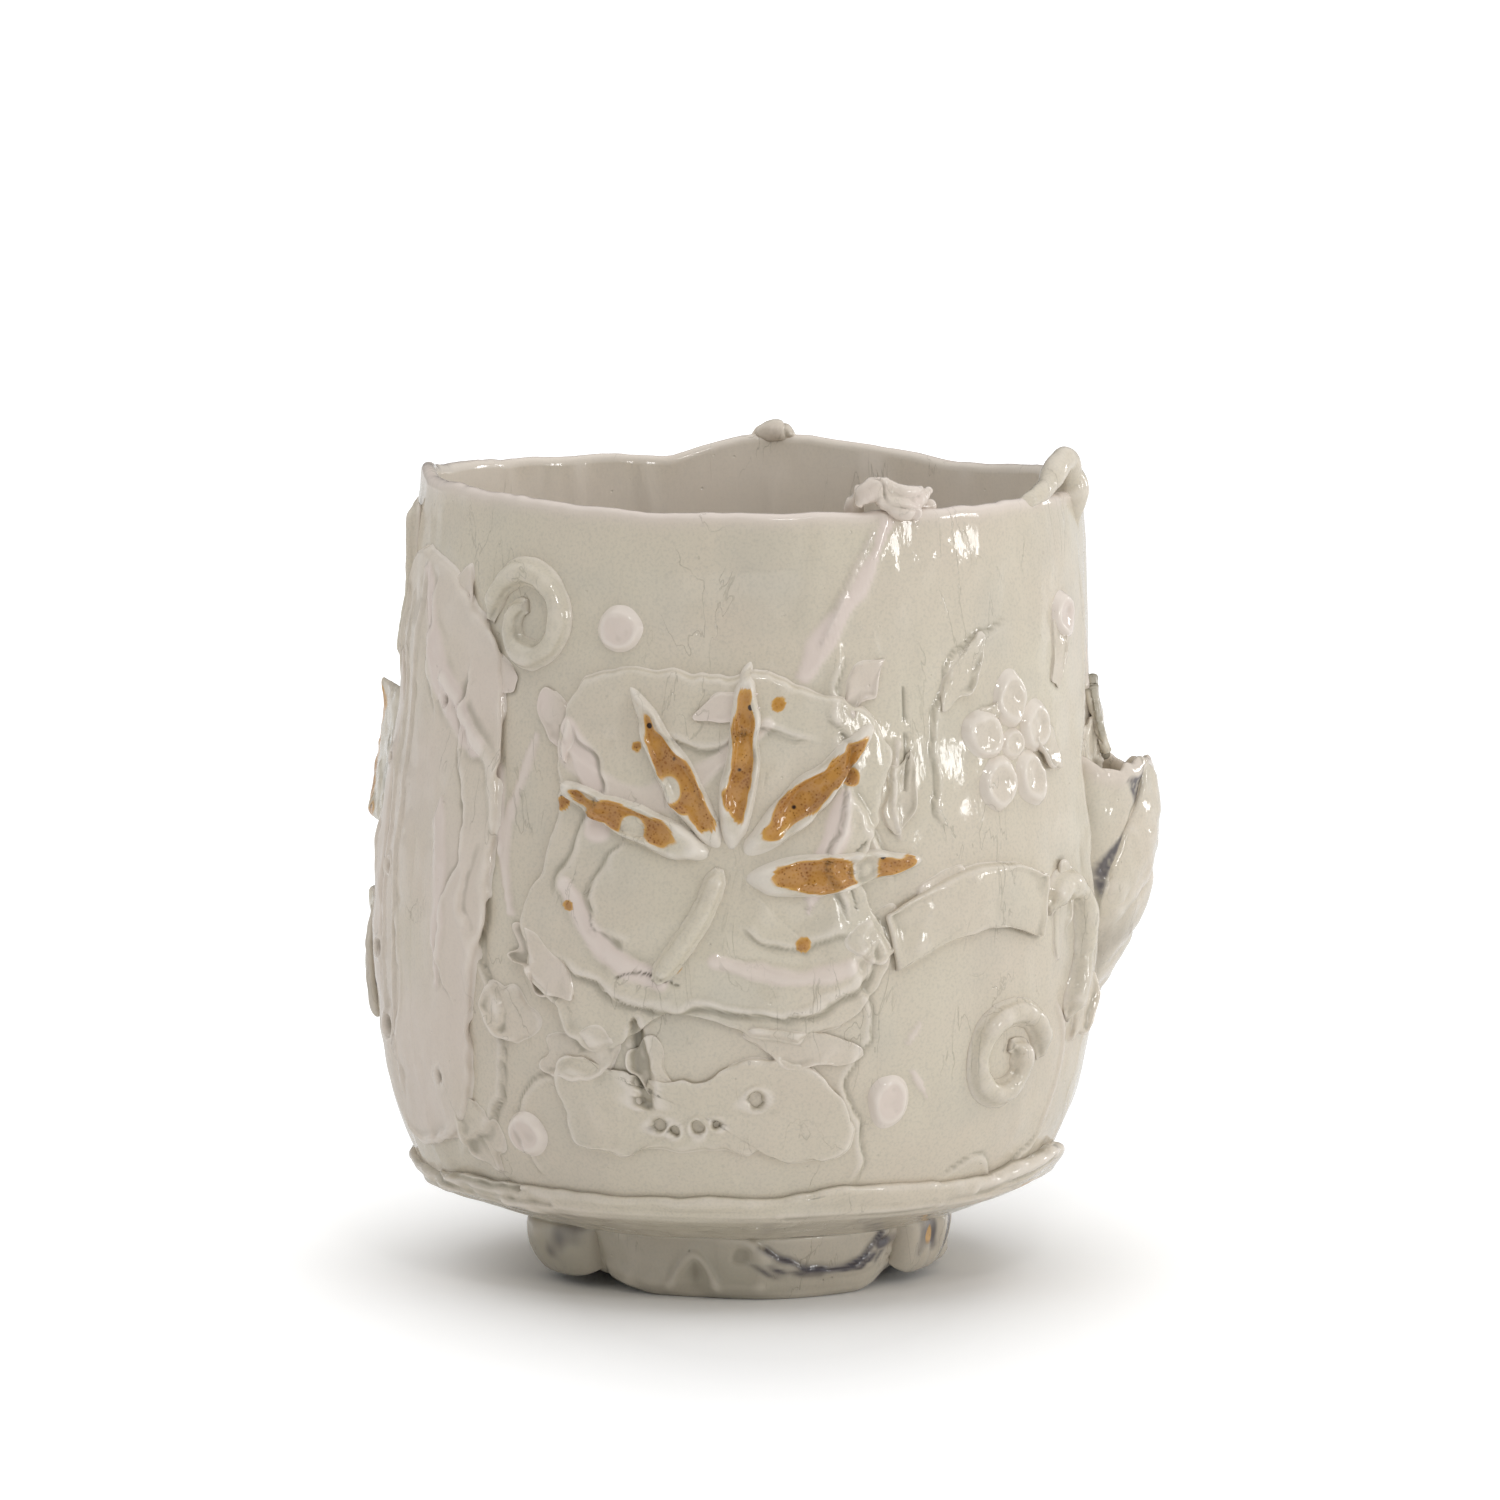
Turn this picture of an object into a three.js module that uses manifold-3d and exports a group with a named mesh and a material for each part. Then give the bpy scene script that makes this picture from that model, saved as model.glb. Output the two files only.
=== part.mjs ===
// A hand-built porcelain tea cup without a handle (yunomi), as the separate pieces of clay that
// the potter lutes together: a wrapped wall, a saucer-shaped base, a foot strip, the coils, sheets
// and pellets pressed onto the wall, and the knot, curl and pocket that stand out from it.
// Millimetres, +Z up, the table at z = 0. A bearing is measured round the cup's axis from the
// front (-Y), and grows towards the right (+X).
import * as THREE from "three";
import { mergeVertices } from "three/addons/utils/BufferGeometryUtils.js";
import Module from "manifold-3d";

const wasm = await Module();
wasm.setup();

// The wall: its outline at five heights, its thickness, and how far it is from round and upright
const RIM_HEIGHT = 83;
const RIM_RADIUS = 34.8;
const SHOULDER_HEIGHT = 64;
const SHOULDER_RADIUS = 35.8;
const BELLY_HEIGHT = 38;
const BELLY_RADIUS = 37.9;
const FLANK_HEIGHT = 20;
const FLANK_RADIUS = 36.2;
const HIP_HEIGHT = 11.5;
const HIP_RADIUS = 33;
const WALL_AT_HIP = 3.6;
const WALL_AT_RIM = 2;
const RIM_LIP = 0.8;
const SIDE_SWELL = 0.3;
const LOBE_SWELL = 0.3;
const LEAN = 2;
const UPRIGHT_SHARE = 0.35;
const RIM_WAVE = 0.5;
const REAR_PEAK = 2.2;
const SIDE_PEAK = 2.3;

// The base and the foot
const FOOT_HEIGHT = 6.2;
const FOOT_RADIUS = 21.4;
const FOOT_FLARE = 1.2;
const FOOT_THICKNESS = 4;
const FOOT_LIFT = 1.7;
const FOOT_TUCK = 2.2;
const RIGHT_LAP = 66;
const LEFT_LAP = -62;
const FLOOR_THICKNESS = 3.8;
const FLOOR_CORNER = 6;
const LUTING_GAP = 0.3;

// Pieces pressed onto the wall
const SHEET_THICKNESS = 1.1;
const DRAPE_THICKNESS = 1.2;
const FOLD_HEIGHT = 0.9;
const COIL_WIDTH = 2.7;
const COIL_THICKNESS = 1.7;
const SEAM_THICKNESS = 0.9;
const HIP_COIL_WIDTH = 4.4;
const HIP_COIL_THICKNESS = 1.2;
const LEAF_LENGTH = 17;
const LEAF_WIDTH = 3.5;
const LEAF_THICKNESS = 1.2;
const PETAL_RADIUS = 2.5;
const PETAL_RISE = 1.5;
const PELLET_RADIUS = 2.3;
const PELLET_RISE = 1.3;

const STRAP_WIDTH = 7;
const STRAP_LENGTH = 19;
const BENT_COIL_LENGTH = 16;
const PANEL_WIDTH = 40;
const PANEL_HEIGHT = 38;
const LOWER_SHEET_WIDTH = 30;
const LOWER_SHEET_HEIGHT = 10;
const REAR_SHEET_WIDTH = 35;
const REAR_SHEET_HEIGHT = 33;
const LOW_REAR_SHEET_WIDTH = 30;
const LOW_REAR_SHEET_HEIGHT = 25;
const DRAPE_LENGTH = 60;
const DRAPE_WIDTH = 23;
const SEAM_LENGTH = 17;
const ON_PANEL = LUTING_GAP + SHEET_THICKNESS + LUTING_GAP;

// Pieces that stand out from the cup
const POCKET_REACH = 5.9;
const POCKET_HEIGHT = 27;
const POCKET_WIDTH = 21;
const POCKET_THICKNESS = 1.8;
const FLAKE_THICKNESS = 1.6;
const FLAKE_REACH = 9;
const FLAKE_WIDTH = 12;
const FLAKE_RISE = 1.1;
const CURL_RADIUS = 1.5;
const CURL_RISE = 2.6;
const CURL_LENGTH = 13;
const CURL_STAND_OFF = 0.15;
const KNOT_SIZE = 2.3;

// Where the larger pieces sit: [bearing, share of the wall's height], or a bearing on the lip
const PANEL_PLACE = [-5, 0.5];
const BLOSSOM_PLACE = [49, 0.66];
const DRAPE_PLACE = [-62, 0.49];
const SEAM_PLACE = [-82, 0.87];
const POCKET_PLACE = [90, 0.405];
const KNOT_BEARING = 27;
const CURL_BEARING = 72;
const BEAD_BEARING = 174;

const DEGREE = Math.PI / 180;
const WALL_SIDES = 60;
const CLAY = { color: 0xcdc6b6, roughness: 0.22, metalness: 0 };
const AMBER = { color: 0xb8803a, roughness: 0.3, metalness: 0 };
const FOOT_CLAY = { color: 0xa8a190, roughness: 0.45, metalness: 0 };

// A smooth bump of height 1 and the given half width, centred on a bearing
function bump(bearing, centre, halfWidth) {
  const off = THREE.MathUtils.euclideanModulo(bearing - centre + 180, 360) - 180;
  return Math.exp(-((off / halfWidth) ** 2));
}

const outline = new THREE.CubicInterpolant(
  Float32Array.of(HIP_HEIGHT, FLANK_HEIGHT, BELLY_HEIGHT, SHOULDER_HEIGHT, RIM_HEIGHT),
  Float32Array.of(HIP_RADIUS, FLANK_RADIUS, BELLY_RADIUS, SHOULDER_RADIUS, RIM_RADIUS),
  1,
);

// How far the plan stands outside a circle at a height: wider from side to side, with three soft
// lobes, and leaning to the right from the hip up
function swell(bearing, height) {
  const twoSided = -SIDE_SWELL * Math.cos(2 * bearing * DEGREE);
  const lobes = LOBE_SWELL * Math.cos(3 * (bearing - 20) * DEGREE);
  const share = (height - HIP_HEIGHT) / (RIM_HEIGHT - HIP_HEIGHT);
  return twoSided + lobes + LEAN * (share - UPRIGHT_SHARE) * Math.sin(bearing * DEGREE);
}

function wallRadius(bearing, height) {
  return outline.evaluate(height)[0] + swell(bearing, height);
}

function wallThickness(height) {
  return THREE.MathUtils.mapLinear(height, HIP_HEIGHT, RIM_HEIGHT, WALL_AT_HIP, WALL_AT_RIM);
}

// The lip's height: a slow wave, a rounded peak at the rear and a small one on the left
function rimHeight(bearing) {
  const wave = RIM_WAVE * Math.sin((2 * bearing + 40) * DEGREE);
  return RIM_HEIGHT + wave + REAR_PEAK * bump(bearing, 176, 24) + SIDE_PEAK * bump(bearing, -88, 9);
}

function polar(bearing, radius, height) {
  const turn = bearing * DEGREE;
  return new THREE.Vector3(radius * Math.sin(turn), -radius * Math.cos(turn), height);
}

// A point standing off the wall's outer face
function offWall(bearing, height, standOff) {
  return polar(bearing, wallRadius(bearing, height) + standOff, height);
}

// Height above the table at a share of the wall, from 0 at the hip to 1 at the lip
function upWall(share) {
  return THREE.MathUtils.lerp(HIP_HEIGHT, RIM_HEIGHT, share);
}

// A closed body from a stack of closed rings with equally many points. The first and last ring
// are capped by strips from one half of the ring to the other, or joined when the stack is a loop.
function skin(rings, loop = false) {
  const count = rings[0].length;
  const positions = rings.flat().flatMap((point) => point.toArray());
  const faces = [];
  const quad = (a, b, c, d) => faces.push(a, b, c, a, c, d);
  for (let row = 0; row < (loop ? rings.length : rings.length - 1); row++) {
    const above = (row + 1) % rings.length;
    for (let i = 0; i < count; i++) {
      const next = (i + 1) % count;
      quad(row * count + i, row * count + next, above * count + next, above * count + i);
    }
  }
  if (!loop) {
    const last = (rings.length - 1) * count;
    for (let i = 0; i < count / 2 - 1; i++) {
      const far = count - 1 - i;
      quad(i, far, far - 1, i + 1);
      quad(last + i, last + i + 1, last + far - 1, last + far);
    }
  }
  return facingOut(positions, faces);
}

// A geometry whose faces point away from the clay, whichever way its rings were listed
function facingOut(positions, faces) {
  const corner = (index) => new THREE.Vector3().fromArray(positions, 3 * index);
  let volume = 0;
  for (let i = 0; i < faces.length; i += 3) {
    const [a, b, c] = [faces[i], faces[i + 1], faces[i + 2]].map(corner);
    volume += a.dot(b.cross(c));
  }
  const geometry = new THREE.BufferGeometry();
  geometry.setAttribute("position", new THREE.Float32BufferAttribute(positions, 3));
  geometry.setIndex(volume < 0 ? faces.reverse() : faces);
  return geometry;
}

function toManifold(geometry) {
  const bare = geometry.clone();
  bare.deleteAttribute("normal");
  bare.deleteAttribute("uv");
  const merged = mergeVertices(bare, 1e-4);
  const vertProperties = new Float32Array(merged.attributes.position.array);
  const triVerts = new Uint32Array(merged.index.array);
  return new wasm.Manifold(new wasm.Mesh({ numProp: 3, vertProperties, triVerts }));
}

function fromManifold(solid) {
  const { vertProperties, triVerts } = solid.getMesh();
  const geometry = new THREE.BufferGeometry();
  geometry.setAttribute("position", new THREE.BufferAttribute(vertProperties, 3));
  geometry.setIndex(new THREE.BufferAttribute(triVerts, 1));
  return geometry;
}

// A ring of clay round the axis, from its cross-section [radius, height] at each bearing
function ringOfClay(crossSection, sides) {
  const bearings = Array.from({ length: sides }, (_, i) => (360 * i) / sides);
  const ring = (bearing) => crossSection(bearing).map(([radius, z]) => polar(bearing, radius, z));
  return skin(bearings.map(ring), true);
}

// The wall's cross-section, grown by a margin on every side that another piece may touch
function wallSection(bearing, margin, outerRows, innerRows) {
  const foot = HIP_HEIGHT + LUTING_GAP - 2 * margin;
  const top = rimHeight(bearing) + margin;
  const shoulder = top - RIM_LIP;
  const outer = (height) => wallRadius(bearing, height) + margin;
  const inner = (height) => wallRadius(bearing, height) - wallThickness(height) - margin;
  const heights = (rows) =>
    Array.from({ length: rows }, (_, i) => THREE.MathUtils.lerp(foot, shoulder, i / (rows - 1)));
  return [
    ...heights(outerRows).map((height) => [outer(height), height]),
    [(outer(top) + inner(top)) / 2, top],
    ...heights(innerRows).reverse().map((height) => [inner(height), height]),
  ];
}

const wallSlab = () => ringOfClay((bearing) => wallSection(bearing, 0, 11, 5), WALL_SIDES);

// What is taken off a piece that is pressed over or against the wall, so that it seats on it
const wallSeat = toManifold(
  ringOfClay((bearing) => wallSection(bearing, LUTING_GAP, 11, 5), WALL_SIDES),
);

function seatedOnWall(piece) {
  const parts = toManifold(piece).subtract(wallSeat).decompose();
  const largest = parts.reduce((a, b) => (b.volume() > a.volume() ? b : a));
  return fromManifold(largest);
}

// The saucer of clay under the wall: flat inside the foot, then out and up to the hip
function baseSlab() {
  const under = FOOT_HEIGHT + LUTING_GAP;
  const floor = under + FLOOR_THICKNESS;
  const seat = FOOT_RADIUS + FOOT_FLARE + LUTING_GAP;
  const innerEdge = HIP_RADIUS - WALL_AT_HIP;
  const profile = [
    [seat * 0.35, under],
    [seat * 0.75, under],
    [seat, under],
    [THREE.MathUtils.lerp(seat, HIP_RADIUS, 0.55), under + 0.7],
    [HIP_RADIUS - 1.3, under + 1.9],
    [HIP_RADIUS, HIP_HEIGHT - 1.2],
    [HIP_RADIUS, HIP_HEIGHT],
    [innerEdge, HIP_HEIGHT],
    [innerEdge - 0.3 * FLOOR_CORNER, floor + 0.4],
    [innerEdge - FLOOR_CORNER, floor],
    [seat * 0.35, floor],
  ];
  const sides = 36;
  const ring = ([radius, height]) =>
    Array.from({ length: sides }, (_, i) => {
      const bearing = (360 * i) / sides;
      return polar(bearing, radius * (1 + swell(bearing, height) / HIP_RADIUS), height);
    });
  return skin(profile.map(ring));
}

// The lower edge of the foot: it stands on three pads at z = 0 and lifts between them
function footLift(bearing) {
  return FOOT_LIFT * Math.max(0, -Math.cos(3 * (bearing - 5) * DEGREE)) ** 1.5;
}

// The outer face of the foot strip: pinched by fingers, tucked in under its two laps, and flared
function footRadius(bearing, height) {
  const pinch = 0.35 * Math.sin(5 * bearing * DEGREE) + 0.2 * Math.sin((9 * bearing + 30) * DEGREE);
  const tuck = FOOT_TUCK * (bump(bearing, RIGHT_LAP, 24) + bump(bearing, LEFT_LAP, 26));
  return FOOT_RADIUS + pinch - tuck + (FOOT_FLARE * height) / FOOT_HEIGHT;
}

function footRing() {
  const section = (bearing) => {
    const low = footLift(bearing);
    const inner = footRadius(bearing, 0) - FOOT_THICKNESS;
    return [
      [footRadius(bearing, low) - 0.7, low],
      [footRadius(bearing, low + 1), low + 1],
      [footRadius(bearing, FOOT_HEIGHT), FOOT_HEIGHT],
      [inner, FOOT_HEIGHT],
      [inner - 0.2, FOOT_HEIGHT / 2],
      [inner + 0.6, low],
    ];
  };
  return ringOfClay(section, 60);
}

// A tongue of clay lapped over the outside of the foot strip
function footLap(middle, halfWidth) {
  const steps = 7;
  const high = FOOT_HEIGHT - 0.3;
  const rings = Array.from({ length: steps + 1 }, (_, i) => {
    const bearing = middle + halfWidth * THREE.MathUtils.mapLinear(i, 0, steps, -1, 1);
    const body = Math.sin(Math.PI * THREE.MathUtils.mapLinear(i, 0, steps, 0.12, 0.88)) ** 0.5;
    const low = 0.9 + 1.6 * (1 - body);
    const inside = (height) => footRadius(bearing, height) + LUTING_GAP;
    const outside = (height) => inside(height) + FOOT_TUCK * body;
    return [
      [inside(low), low + 0.4],
      [inside(low) + 0.5 * body, low],
      [outside(low) - 0.4, low + 0.5],
      [outside((low + high) / 2) + 0.3, (low + high) / 2],
      [outside(high), high - 0.3],
      [inside(high), high],
    ].map(([radius, height]) => polar(bearing, radius, height));
  });
  return skin(rings);
}

// How far the top of a rolled coil stands off, from 0 to 1, at a place across it from -1 to 1
function roundTop(across) {
  return (1 - Math.abs(across) ** 3) ** (1 / 3);
}

// How full a rolled coil is at a share of its length: its two ends are pinched thinner
function pinchedEnds(share) {
  const fromEnd = Math.min(share, 1 - share) / 0.25;
  return Math.min(1, 0.4 + 0.6 * Math.sqrt(fromEnd));
}

const MM_PER_DEGREE = BELLY_RADIUS * DEGREE;

// A strip pressed onto the wall along a path, which gives a bearing and a height for each share of
// its length. `fullness` narrows it along the way, and `crown` shapes its top from side to side.
function stripOnWall({
  path,
  steps,
  width,
  thickness,
  seat = LUTING_GAP,
  fullness = pinchedEnds,
  crown = roundTop,
  across = [-1, -0.65, 0, 0.65, 1],
  closed = false,
}) {
  const near = 1e-3;
  const edge = 0.2;
  const rings = Array.from({ length: closed ? steps : steps + 1 }, (_, i) => {
    const share = i / steps;
    const [bearing, height] = path(share);
    const before = path(closed ? share - near : Math.max(0, share - near));
    const after = path(closed ? share + near : Math.min(1, share + near));
    const along = new THREE.Vector2((after[0] - before[0]) * MM_PER_DEGREE, after[1] - before[1]);
    along.normalize();
    const body = fullness(share);
    const point = (side, standOff) => {
      const offset = (side * width * body) / 2;
      return offWall(bearing - (along.y * offset) / MM_PER_DEGREE, height + along.x * offset, standOff);
    };
    const rise = (side) => edge + thickness * Math.min(1, body) * crown(side, share);
    return [
      ...across.map((side) => point(side, seat + rise(side))),
      ...[...across].reverse().map((side) => point(side, seat)),
    ];
  });
  return skin(rings, closed);
}

// A path through points round a place on the wall, which are given across and up in shares of a length
function pathAt([bearing, share], length, points) {
  const curve = new THREE.SplineCurve(
    points.map(([x, y]) => new THREE.Vector2(x, y).multiplyScalar(length)),
  );
  return (along) => {
    const { x, y } = curve.getPoint(along);
    return [bearing + x / MM_PER_DEGREE, upWall(share) + y];
  };
}

function coilOnWall(at, length, points, steps = 12, seat = LUTING_GAP) {
  return stripOnWall({
    path: pathAt(at, length, points),
    steps,
    width: COIL_WIDTH,
    thickness: COIL_THICKNESS,
    seat,
  });
}

// The strip that closes the wall's seam, smeared flat
function seamStrip() {
  return stripOnWall({
    path: pathAt(SEAM_PLACE, SEAM_LENGTH, [[0, 0.47], [0.12, 0.1], [0.09, -0.2], [0, -0.5]]),
    steps: 12,
    width: COIL_WIDTH,
    thickness: SEAM_THICKNESS,
  });
}

// A piece pressed onto the wall whose rings shrink towards its middle. `edge` runs once round it,
// in millimetres from the place given, and `lift` is the thickness of each ring.
function pressedOn({ at: [bearing, share], edge, sides, rings, lift, seat = LUTING_GAP }) {
  const ring = (size, standOff) =>
    Array.from({ length: sides }, (_, i) => {
      const { x, y, middle = [0, 0] } = edge(i / sides);
      const across = middle[0] + (x - middle[0]) * size;
      const up = middle[1] + (y - middle[1]) * size;
      return offWall(bearing + across / MM_PER_DEGREE, upWall(share) + up, standOff);
    });
  const top = rings.map((size) => ring(size, seat + lift(size)));
  const under = [...rings].reverse().map((size) => ring(size, seat));
  return skin([...top, ...under]);
}

// A thin sheet with a torn, softly rounded edge, drawn through a few points round its outline. Their
// places are shares of its half width and half height.
function tornSheet(at, width, height, points) {
  const corners = points.map(([x, y]) => new THREE.Vector3((x * width) / 2, (y * height) / 2, 0));
  const curve = new THREE.CatmullRomCurve3(corners, true);
  return pressedOn({
    at,
    edge: (share) => curve.getPoint(share),
    sides: 25,
    rings: [0.2, 0.5, 0.75, 0.95, 1],
    lift: (size) => SHEET_THICKNESS * (size < 1 ? 1 : 0.55),
  });
}

// A ball of clay pressed down with a fingertip, some way across and up from a place on the wall
function pelletOnWall(at, [x, y], radius, rise) {
  const edge = (share) => {
    const turn = 2 * Math.PI * share;
    return { x: x + radius * Math.cos(turn), y: y + radius * Math.sin(turn), middle: [x, y] };
  };
  const lift = (size) => rise * Math.sqrt(1.08 - size ** 2);
  return pressedOn({ at, edge, sides: 12, rings: [0.3, 0.72, 1], lift });
}

// A pointed leaf lying on the torn panel, from a twig's end outwards in the direction given
function leafOnPanel(at, [x, y], direction) {
  const turn = direction * DEGREE;
  const [cos, sin] = [Math.cos(turn), Math.sin(turn)];
  const middle = [LEAF_LENGTH * (x + cos / 2), LEAF_LENGTH * (y + sin / 2)];
  const edge = (share) => {
    const round = 2 * Math.PI * share;
    const length = (LEAF_LENGTH / 2) * Math.cos(round);
    const width = (LEAF_WIDTH / 2) * Math.sin(round) * (1 - 0.3 * Math.cos(round));
    return {
      x: middle[0] + length * cos - width * sin,
      y: middle[1] + length * sin + width * cos,
      middle,
    };
  };
  const lift = (size) => LEAF_THICKNESS * Math.sqrt(1.15 - size ** 2);
  return pressedOn({ at, edge, sides: 16, rings: [0.25, 0.65, 1], lift, seat: ON_PANEL });
}

// The outward direction of a surface pointAt(u, v), where u runs to the right and v upwards
function facing(pointAt, u, v) {
  const near = 1e-3;
  const across = pointAt(u + near, v).sub(pointAt(u - near, v));
  const up = pointAt(u, v + near).sub(pointAt(u, v - near));
  return across.cross(up).normalize();
}

// A bent sheet of even thickness from its middle surface: each ring goes out along its outer face
// and back along its inner face
function bentSheet(pointAt, thickness, columns, rows) {
  const spaced = (count) => Array.from({ length: count + 1 }, (_, i) => i / count);
  const face = (v, side, order) =>
    order.map((u) => pointAt(u, v).addScaledVector(facing(pointAt, u, v), (side * thickness) / 2));
  const order = spaced(columns);
  const rings = spaced(rows).map((v) => [...face(v, 1, order), ...face(v, -1, [...order].reverse())]);
  return skin(rings);
}

// A flake peeling off the wall: held along one edge, and lifting as it goes out from there in the
// direction given. `size` and `rise` are shares of the largest flake's.
function peeledFlake({ at: [bearing, share], direction, size, rise }) {
  const turn = direction * DEGREE;
  const pointAt = (u, v) => {
    const raggedness = 1 + 0.18 * Math.sin(7 * u + bearing);
    const out = size * FLAKE_REACH * (v - 0.4) * raggedness;
    const along = size * FLAKE_WIDTH * (u - 0.5);
    const x = out * Math.cos(turn) - along * Math.sin(turn);
    const y = out * Math.sin(turn) + along * Math.cos(turn);
    const standOff = FLAKE_THICKNESS / 2 - 0.2 + rise * FLAKE_RISE * v * v;
    return offWall(bearing + x / MM_PER_DEGREE, upWall(share) + y, standOff);
  };
  return seatedOnWall(bentSheet(pointAt, FLAKE_THICKNESS, 7, 4));
}

// The middle surface of the open pocket on the right: bent out from the wall and back, and closing
// downwards. u runs round it from its front root to its rear root, and v from its tip up to its lip.
function pocketAt(u, v) {
  const [bearing, share] = POCKET_PLACE;
  const low = upWall(share) - POCKET_HEIGHT / 2;
  const round = Math.sqrt(Math.max(0, Math.sin(Math.PI * u)));
  const open = THREE.MathUtils.smoothstep(v, -0.12, 0.62);
  const lip = 0.9 * Math.sin(9 * u) * THREE.MathUtils.smoothstep(v, 0.6, 1);
  const standOff = POCKET_REACH * round * open - POCKET_THICKNESS / 2;
  const across = (u - 0.5) * POCKET_WIDTH * (0.3 + 0.7 * open);
  return offWall(bearing + across / MM_PER_DEGREE, low + POCKET_HEIGHT * v + lip, standOff);
}

const sidePocket = () => seatedOnWall(bentSheet(pocketAt, POCKET_THICKNESS, 16, 10));

// The sheet folded over the outer half of the pocket; its front edge slants from the lip down
function pocketFlap() {
  const away = (POCKET_THICKNESS + FLAKE_THICKNESS) / 2 + LUTING_GAP;
  const pointAt = (u, v) => {
    const front = THREE.MathUtils.lerp(0.2, 0.36, v);
    const onPocket = [THREE.MathUtils.lerp(front, 0.68, u), THREE.MathUtils.lerp(0.3, 0.95, v)];
    return pocketAt(...onPocket).addScaledVector(facing(pocketAt, ...onPocket), away);
  };
  return bentSheet(pointAt, FLAKE_THICKNESS, 9, 7);
}

// A point on the middle of the lip, moved along it, outwards and up
function onLip(bearing, along, out, up) {
  const turned = bearing + along / (RIM_RADIUS * DEGREE);
  const radius = wallRadius(turned, RIM_HEIGHT) - WALL_AT_RIM / 2 + out;
  return polar(turned, radius, rimHeight(turned) + up);
}

// A crumpled pinch of clay that grips the lip: balls joined and seated over it. Each one is given by
// its place along the lip, outwards and up, and its radius, in shares of the knot's size.
function rimKnot() {
  const balls = [
    [-1.35, 0.09, 0.6, 1],
    [-0.5, 0, 0.82, 0.8],
    [0.43, 0.22, 0.56, 0.85],
    [1.3, -0.17, 0.43, 0.7],
    [-1.3, -0.83, -0.09, 0.75],
    [0.7, -0.91, -0.09, 0.7],
    [0.13, 0.74, -0.17, 0.72],
  ];
  const lump = balls
    .map((ball) => ball.map((share) => KNOT_SIZE * share))
    .map(([along, out, up, radius]) => {
      const ball = new THREE.SphereGeometry(radius, 8, 5);
      ball.scale(1, 1, 0.85);
      return ball.translate(...onLip(KNOT_BEARING, along, out, up).toArray());
    })
    .map(toManifold)
    .reduce((whole, ball) => whole.add(ball));
  return seatedOnWall(fromManifold(lump));
}

// A crumb of clay left on the peak of the lip
function rimBead() {
  const ball = new THREE.SphereGeometry(KNOT_SIZE * 0.8, 8, 5);
  ball.translate(...onLip(BEAD_BEARING, 0, 0, 0).toArray());
  return seatedOnWall(ball);
}

// A coil looped up over the lip on the right and down the outside
function rimCurl() {
  const away = WALL_AT_RIM / 2 + CURL_STAND_OFF;
  const route = [
    [-0.75, 0.1 * away, 0.2 * CURL_RISE],
    [-0.42, 0.1 * away, 0.6 * CURL_RISE],
    [-0.08, 0.05 * away, CURL_RISE],
    [0.16, 0.25 * away, 0.85 * CURL_RISE],
    [0.27, 0.8 * away, -0.12 * CURL_LENGTH],
    [0.3, away, -0.5 * CURL_LENGTH],
    [0.3, away, -CURL_LENGTH],
  ];
  const points = route.map(([along, out, up]) => onLip(CURL_BEARING, along * CURL_LENGTH, out, up));
  const section = new THREE.Shape();
  section.absellipse(0, 0, CURL_RADIUS, CURL_RADIUS, 0, 2 * Math.PI);
  const coil = new THREE.ExtrudeGeometry(section, {
    steps: 14,
    curveSegments: 5,
    bevelEnabled: false,
    extrudePath: new THREE.CatmullRomCurve3(points),
  });
  return seatedOnWall(coil);
}

// The rolled coil that closes the joint between wall and base
function hipCoil() {
  const path = (share) => {
    const bearing = 360 * share;
    const sway = 0.75 * Math.cos((bearing - 10) * DEGREE) + 0.4 * Math.sin(3 * bearing * DEGREE);
    return [bearing, HIP_HEIGHT + 0.2 + sway];
  };
  return stripOnWall({
    path,
    steps: 45,
    width: HIP_COIL_WIDTH,
    thickness: HIP_COIL_THICKNESS,
    fullness: (share) => 1 + 0.12 * Math.sin(10 * Math.PI * share),
    closed: true,
  });
}

// The sheet draped down the left side, with long folds
function leftDrape() {
  const folds = [-0.72, -0.3, 0.12, 0.6];
  const across = [-1, -0.88, -0.72, -0.5, -0.3, -0.1, 0.12, 0.36, 0.6, 0.84, 1];
  const crown = (side, share) => {
    const edge = Math.abs(side) > 0.99 ? 0.5 : 1;
    const near = folds.some((fold) => Math.abs(fold - side) < 0.05);
    const fade = Math.sin(Math.PI * THREE.MathUtils.lerp(0.1, 0.9, share));
    return edge + (near ? (FOLD_HEIGHT / DRAPE_THICKNESS) * fade : 0);
  };
  return stripOnWall({
    path: pathAt(DRAPE_PLACE, DRAPE_LENGTH, [
      [-0.02, -0.5],
      [0.025, -0.17],
      [0.01, 0.17],
      [-0.05, 0.5],
    ]),
    steps: 14,
    width: DRAPE_WIDTH,
    thickness: DRAPE_THICKNESS,
    fullness: (share) => Math.min(1, 0.45 + 1.5 * share, 0.42 + 1.1 * (1 - share)),
    crown,
    across,
  });
}

// A flat strap of clay, with square ends, bent over on the right
function rightStrap() {
  return stripOnWall({
    path: pathAt([38, 0.43], STRAP_LENGTH, [
      [-0.42, -0.13],
      [-0.1, 0.05],
      [0.26, 0.08],
      [0.53, -0.05],
    ]),
    steps: 12,
    width: STRAP_WIDTH,
    thickness: SHEET_THICKNESS,
    fullness: (share) => 0.86 + 0.14 * Math.sin(Math.PI * share),
    crown: (side) => (Math.abs(side) > 0.99 ? 0.5 : 1),
    across: [-1, -0.9, -0.3, 0.3, 0.9, 1],
  });
}

// A rolled coil bent over like a crook
function bentCoil() {
  const crook = [
    [-0.25, 0.25],
    [-0.06, 0.38],
    [0.19, 0.25],
    [0.22, -0.13],
    [0.06, -0.5],
  ];
  return coilOnWall([62, 0.36], BENT_COIL_LENGTH, crook, 16);
}

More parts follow.
